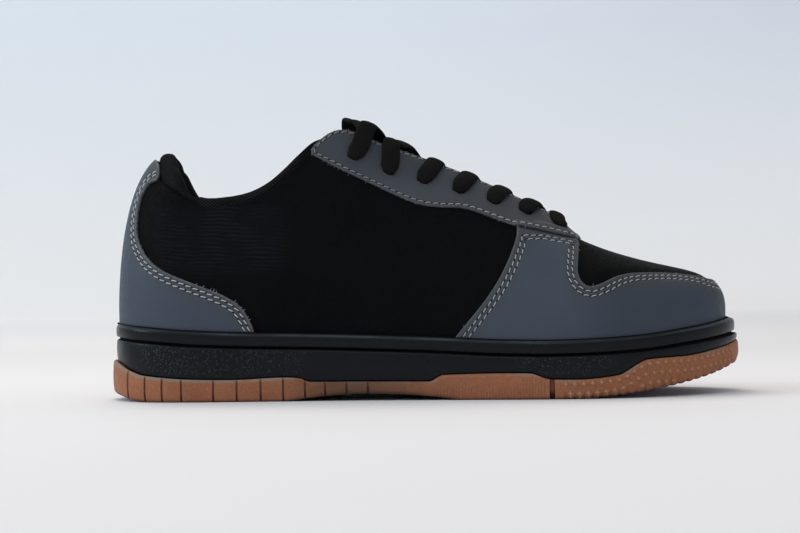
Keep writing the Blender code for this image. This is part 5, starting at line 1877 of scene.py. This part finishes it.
def make_lace():
    """One flat woven lace through all the eyelets. Its width always lies along the throat."""
    places, shares = cord_through(lace_knots(), LACE_STEP)
    along = unit(np.gradient(places, axis=0))
    slope = unit(OUTER_EYELETS[-1].edge - OUTER_EYELETS[0].edge) * np.array([1.0, 0.0, 1.0])
    wide = unit(slope - along * (along @ slope)[:, None])
    thick = np.cross(along, wide)
    turns = np.linspace(0, 2 * math.pi, LACE_ROUND, endpoint=False)
    power = 2 / LACE_SQUARE
    a = np.sign(np.cos(turns)) * np.abs(np.cos(turns)) ** power * LACE_WIDTH / 2
    b = np.sign(np.sin(turns)) * np.abs(np.sin(turns)) ** power * LACE_THICKNESS / 2
    rings = places[:, None] + wide[:, None] * (a * shares[:, :1])[..., None]
    core = places * [1.0, 0.0, 0.0] + [0.0, 0.0, FOOT_CORE_HEIGHT]
    from_core = unit(places - core)
    upper = np.clip(1.5 * (thick * from_core).sum(axis=1), -1, 1)[:, None]
    droop = LACE_CROWN * upper * (2 * a / LACE_WIDTH) ** 2
    rings = rings + thick[:, None] * (b * shares[:, 1:] - droop)[..., None]
    count = len(places)
    faces = ring_faces(count, LACE_ROUND, True, False).tolist()
    faces.append(list(range(LACE_ROUND))[::-1])
    faces.append([(count - 1) * LACE_ROUND + k for k in range(LACE_ROUND)])
    length = run_length(places)
    girth = LACE_WIDTH * np.sin(turns / 2) ** 2
    uv = np.stack(np.meshgrid(length, girth, indexing="ij"), axis=2).reshape(-1, 2)
    crossings = [f"lace_cross_{i}" for i in range(1, EYELETS)]
    piece(
        "lace", rings.reshape(-1, 3), faces, LACE_CLOTH, uv, None, (*crossings, "lace_bar"),
    )
    print("lace length, mm:", round(length[-1]))


# Stage

FLOOR_RADIUS = 1.9
SWEEP = 0.75
FLOOR_SIDES = 96

# The surround's colour low down and high up, and its strength at the left and at the right
SURROUND_LOW, SURROUND_HIGH = (0.67, 0.85, 1.04), (0.97, 0.94, 0.90)
SURROUND_LEFT, SURROUND_RIGHT = 0.90, 0.47

Lamp = namedtuple("Lamp", "name place target size power colour")
LAMPS = (
    Lamp("overhead", (-0.25, 0.7, 1.3), (0, 0, 0.05), 0.8, 7.0, (1.0, 0.87, 0.72)),
    Lamp("front strip", (-0.05, -1.1, 1.25), (-0.02, 0, 0.03), 0.4, 1.9, (0.95, 0.98, 1.0)),
    Lamp("left window", (-1.6, -0.3, 0.8), (0, 0, 0.05), 0.8, 8.5, (0.80, 0.92, 1.0)),
    Lamp("backdrop left", (-0.9, 0.9, 1.3), (-0.7, 2.6, 0.2), 0.8, 7.2, (0.88, 0.96, 1.0)),
    Lamp("backdrop right", (0.9, 0.9, 1.3), (0.7, 2.6, 0.2), 0.8, 1.2, (1.0, 0.97, 0.97)),
)


def make_floor():
    """A pale paper floor that curves up all round."""
    turns = np.linspace(0, math.pi / 2, 16)[1:]
    rings = [(0.0, 0.0), (0.6, 0.0), (1.4, 0.0), (FLOOR_RADIUS, 0.0)]
    rings += [(FLOOR_RADIUS + SWEEP * math.sin(a), SWEEP * (1 - math.cos(a))) for a in turns]
    around = np.linspace(0, 2 * math.pi, FLOOR_SIDES, endpoint=False)
    points = np.array([[(r * math.cos(a), r * math.sin(a), z) for r, z in rings] for a in around])
    mesh = bpy.data.meshes.new("studio_floor")
    faces = ring_faces(FLOOR_SIDES, len(rings), False)
    mesh.from_pydata(points.reshape(-1, 3).tolist(), [], faces.tolist())
    mesh.shade_smooth()
    mesh.materials.append(PAPER)
    floor = bpy.data.objects.new("studio_floor", mesh)
    bpy.context.scene.collection.objects.link(floor)


def make_surround():
    """Soft light from everywhere, warmer from above and stronger from the left."""
    world = bpy.data.worlds.new("soft surround")
    world.use_nodes = True
    tree = world.node_tree
    background = tree.nodes["Background"]
    direction = node(tree, "ShaderNodeTexCoord").outputs["Generated"]
    height = between(tree, axis(tree, direction, "Z"), 0.0, 0.8)
    colour = blend(tree, height, SURROUND_LOW, SURROUND_HIGH)
    tree.links.new(colour, background.inputs["Color"])
    strength = between(tree, axis(tree, direction, "X"), -0.9, 0.9, SURROUND_LEFT, SURROUND_RIGHT)
    tree.links.new(strength, background.inputs["Strength"])
    bpy.context.scene.world = world


def make_lamps():
    """Round soft lamps, each aimed at its target."""
    for lamp in LAMPS:
        light = bpy.data.lights.new(lamp.name, "AREA")
        light.shape = "DISK"
        light.size = lamp.size
        light.energy = lamp.power
        light.color = lamp.colour
        made = bpy.data.objects.new(lamp.name, light)
        made.location = lamp.place
        aim = np.array(lamp.target) - np.array(lamp.place)
        made.rotation_mode = "QUATERNION"
        made.rotation_quaternion = Vector(aim).to_track_quat("-Z", "Y")
        bpy.context.scene.collection.objects.link(made)


PICTURE_WIDTH = 800
FOCAL_PIXELS = 2316.0
CAMERA_PLACE = (-0.0108, -1.0, 0.0555)
CAMERA_ROLL = -0.014


def make_camera():
    """The camera at the shoe's outer side, and a plain view transform."""
    lens = bpy.data.cameras.new("side camera")
    lens.sensor_fit = "HORIZONTAL"
    lens.sensor_width = 36.0
    lens.lens = lens.sensor_width * FOCAL_PIXELS / PICTURE_WIDTH
    camera = bpy.data.objects.new("side camera", lens)
    turn = Matrix.Rotation(math.pi / 2, 4, "X") @ Matrix.Rotation(CAMERA_ROLL, 4, "Z")
    camera.matrix_world = Matrix.Translation(CAMERA_PLACE) @ turn
    bpy.context.scene.collection.objects.link(camera)
    bpy.context.scene.camera = camera
    bpy.context.scene.view_settings.view_transform = "Standard"


make_leather()
make_lining()
make_overlays()
make_fibres()
make_cupsole()
make_outsole()
make_insole()
make_tongue()
make_lace()
make_floor()
make_surround()
make_lamps()
make_camera()
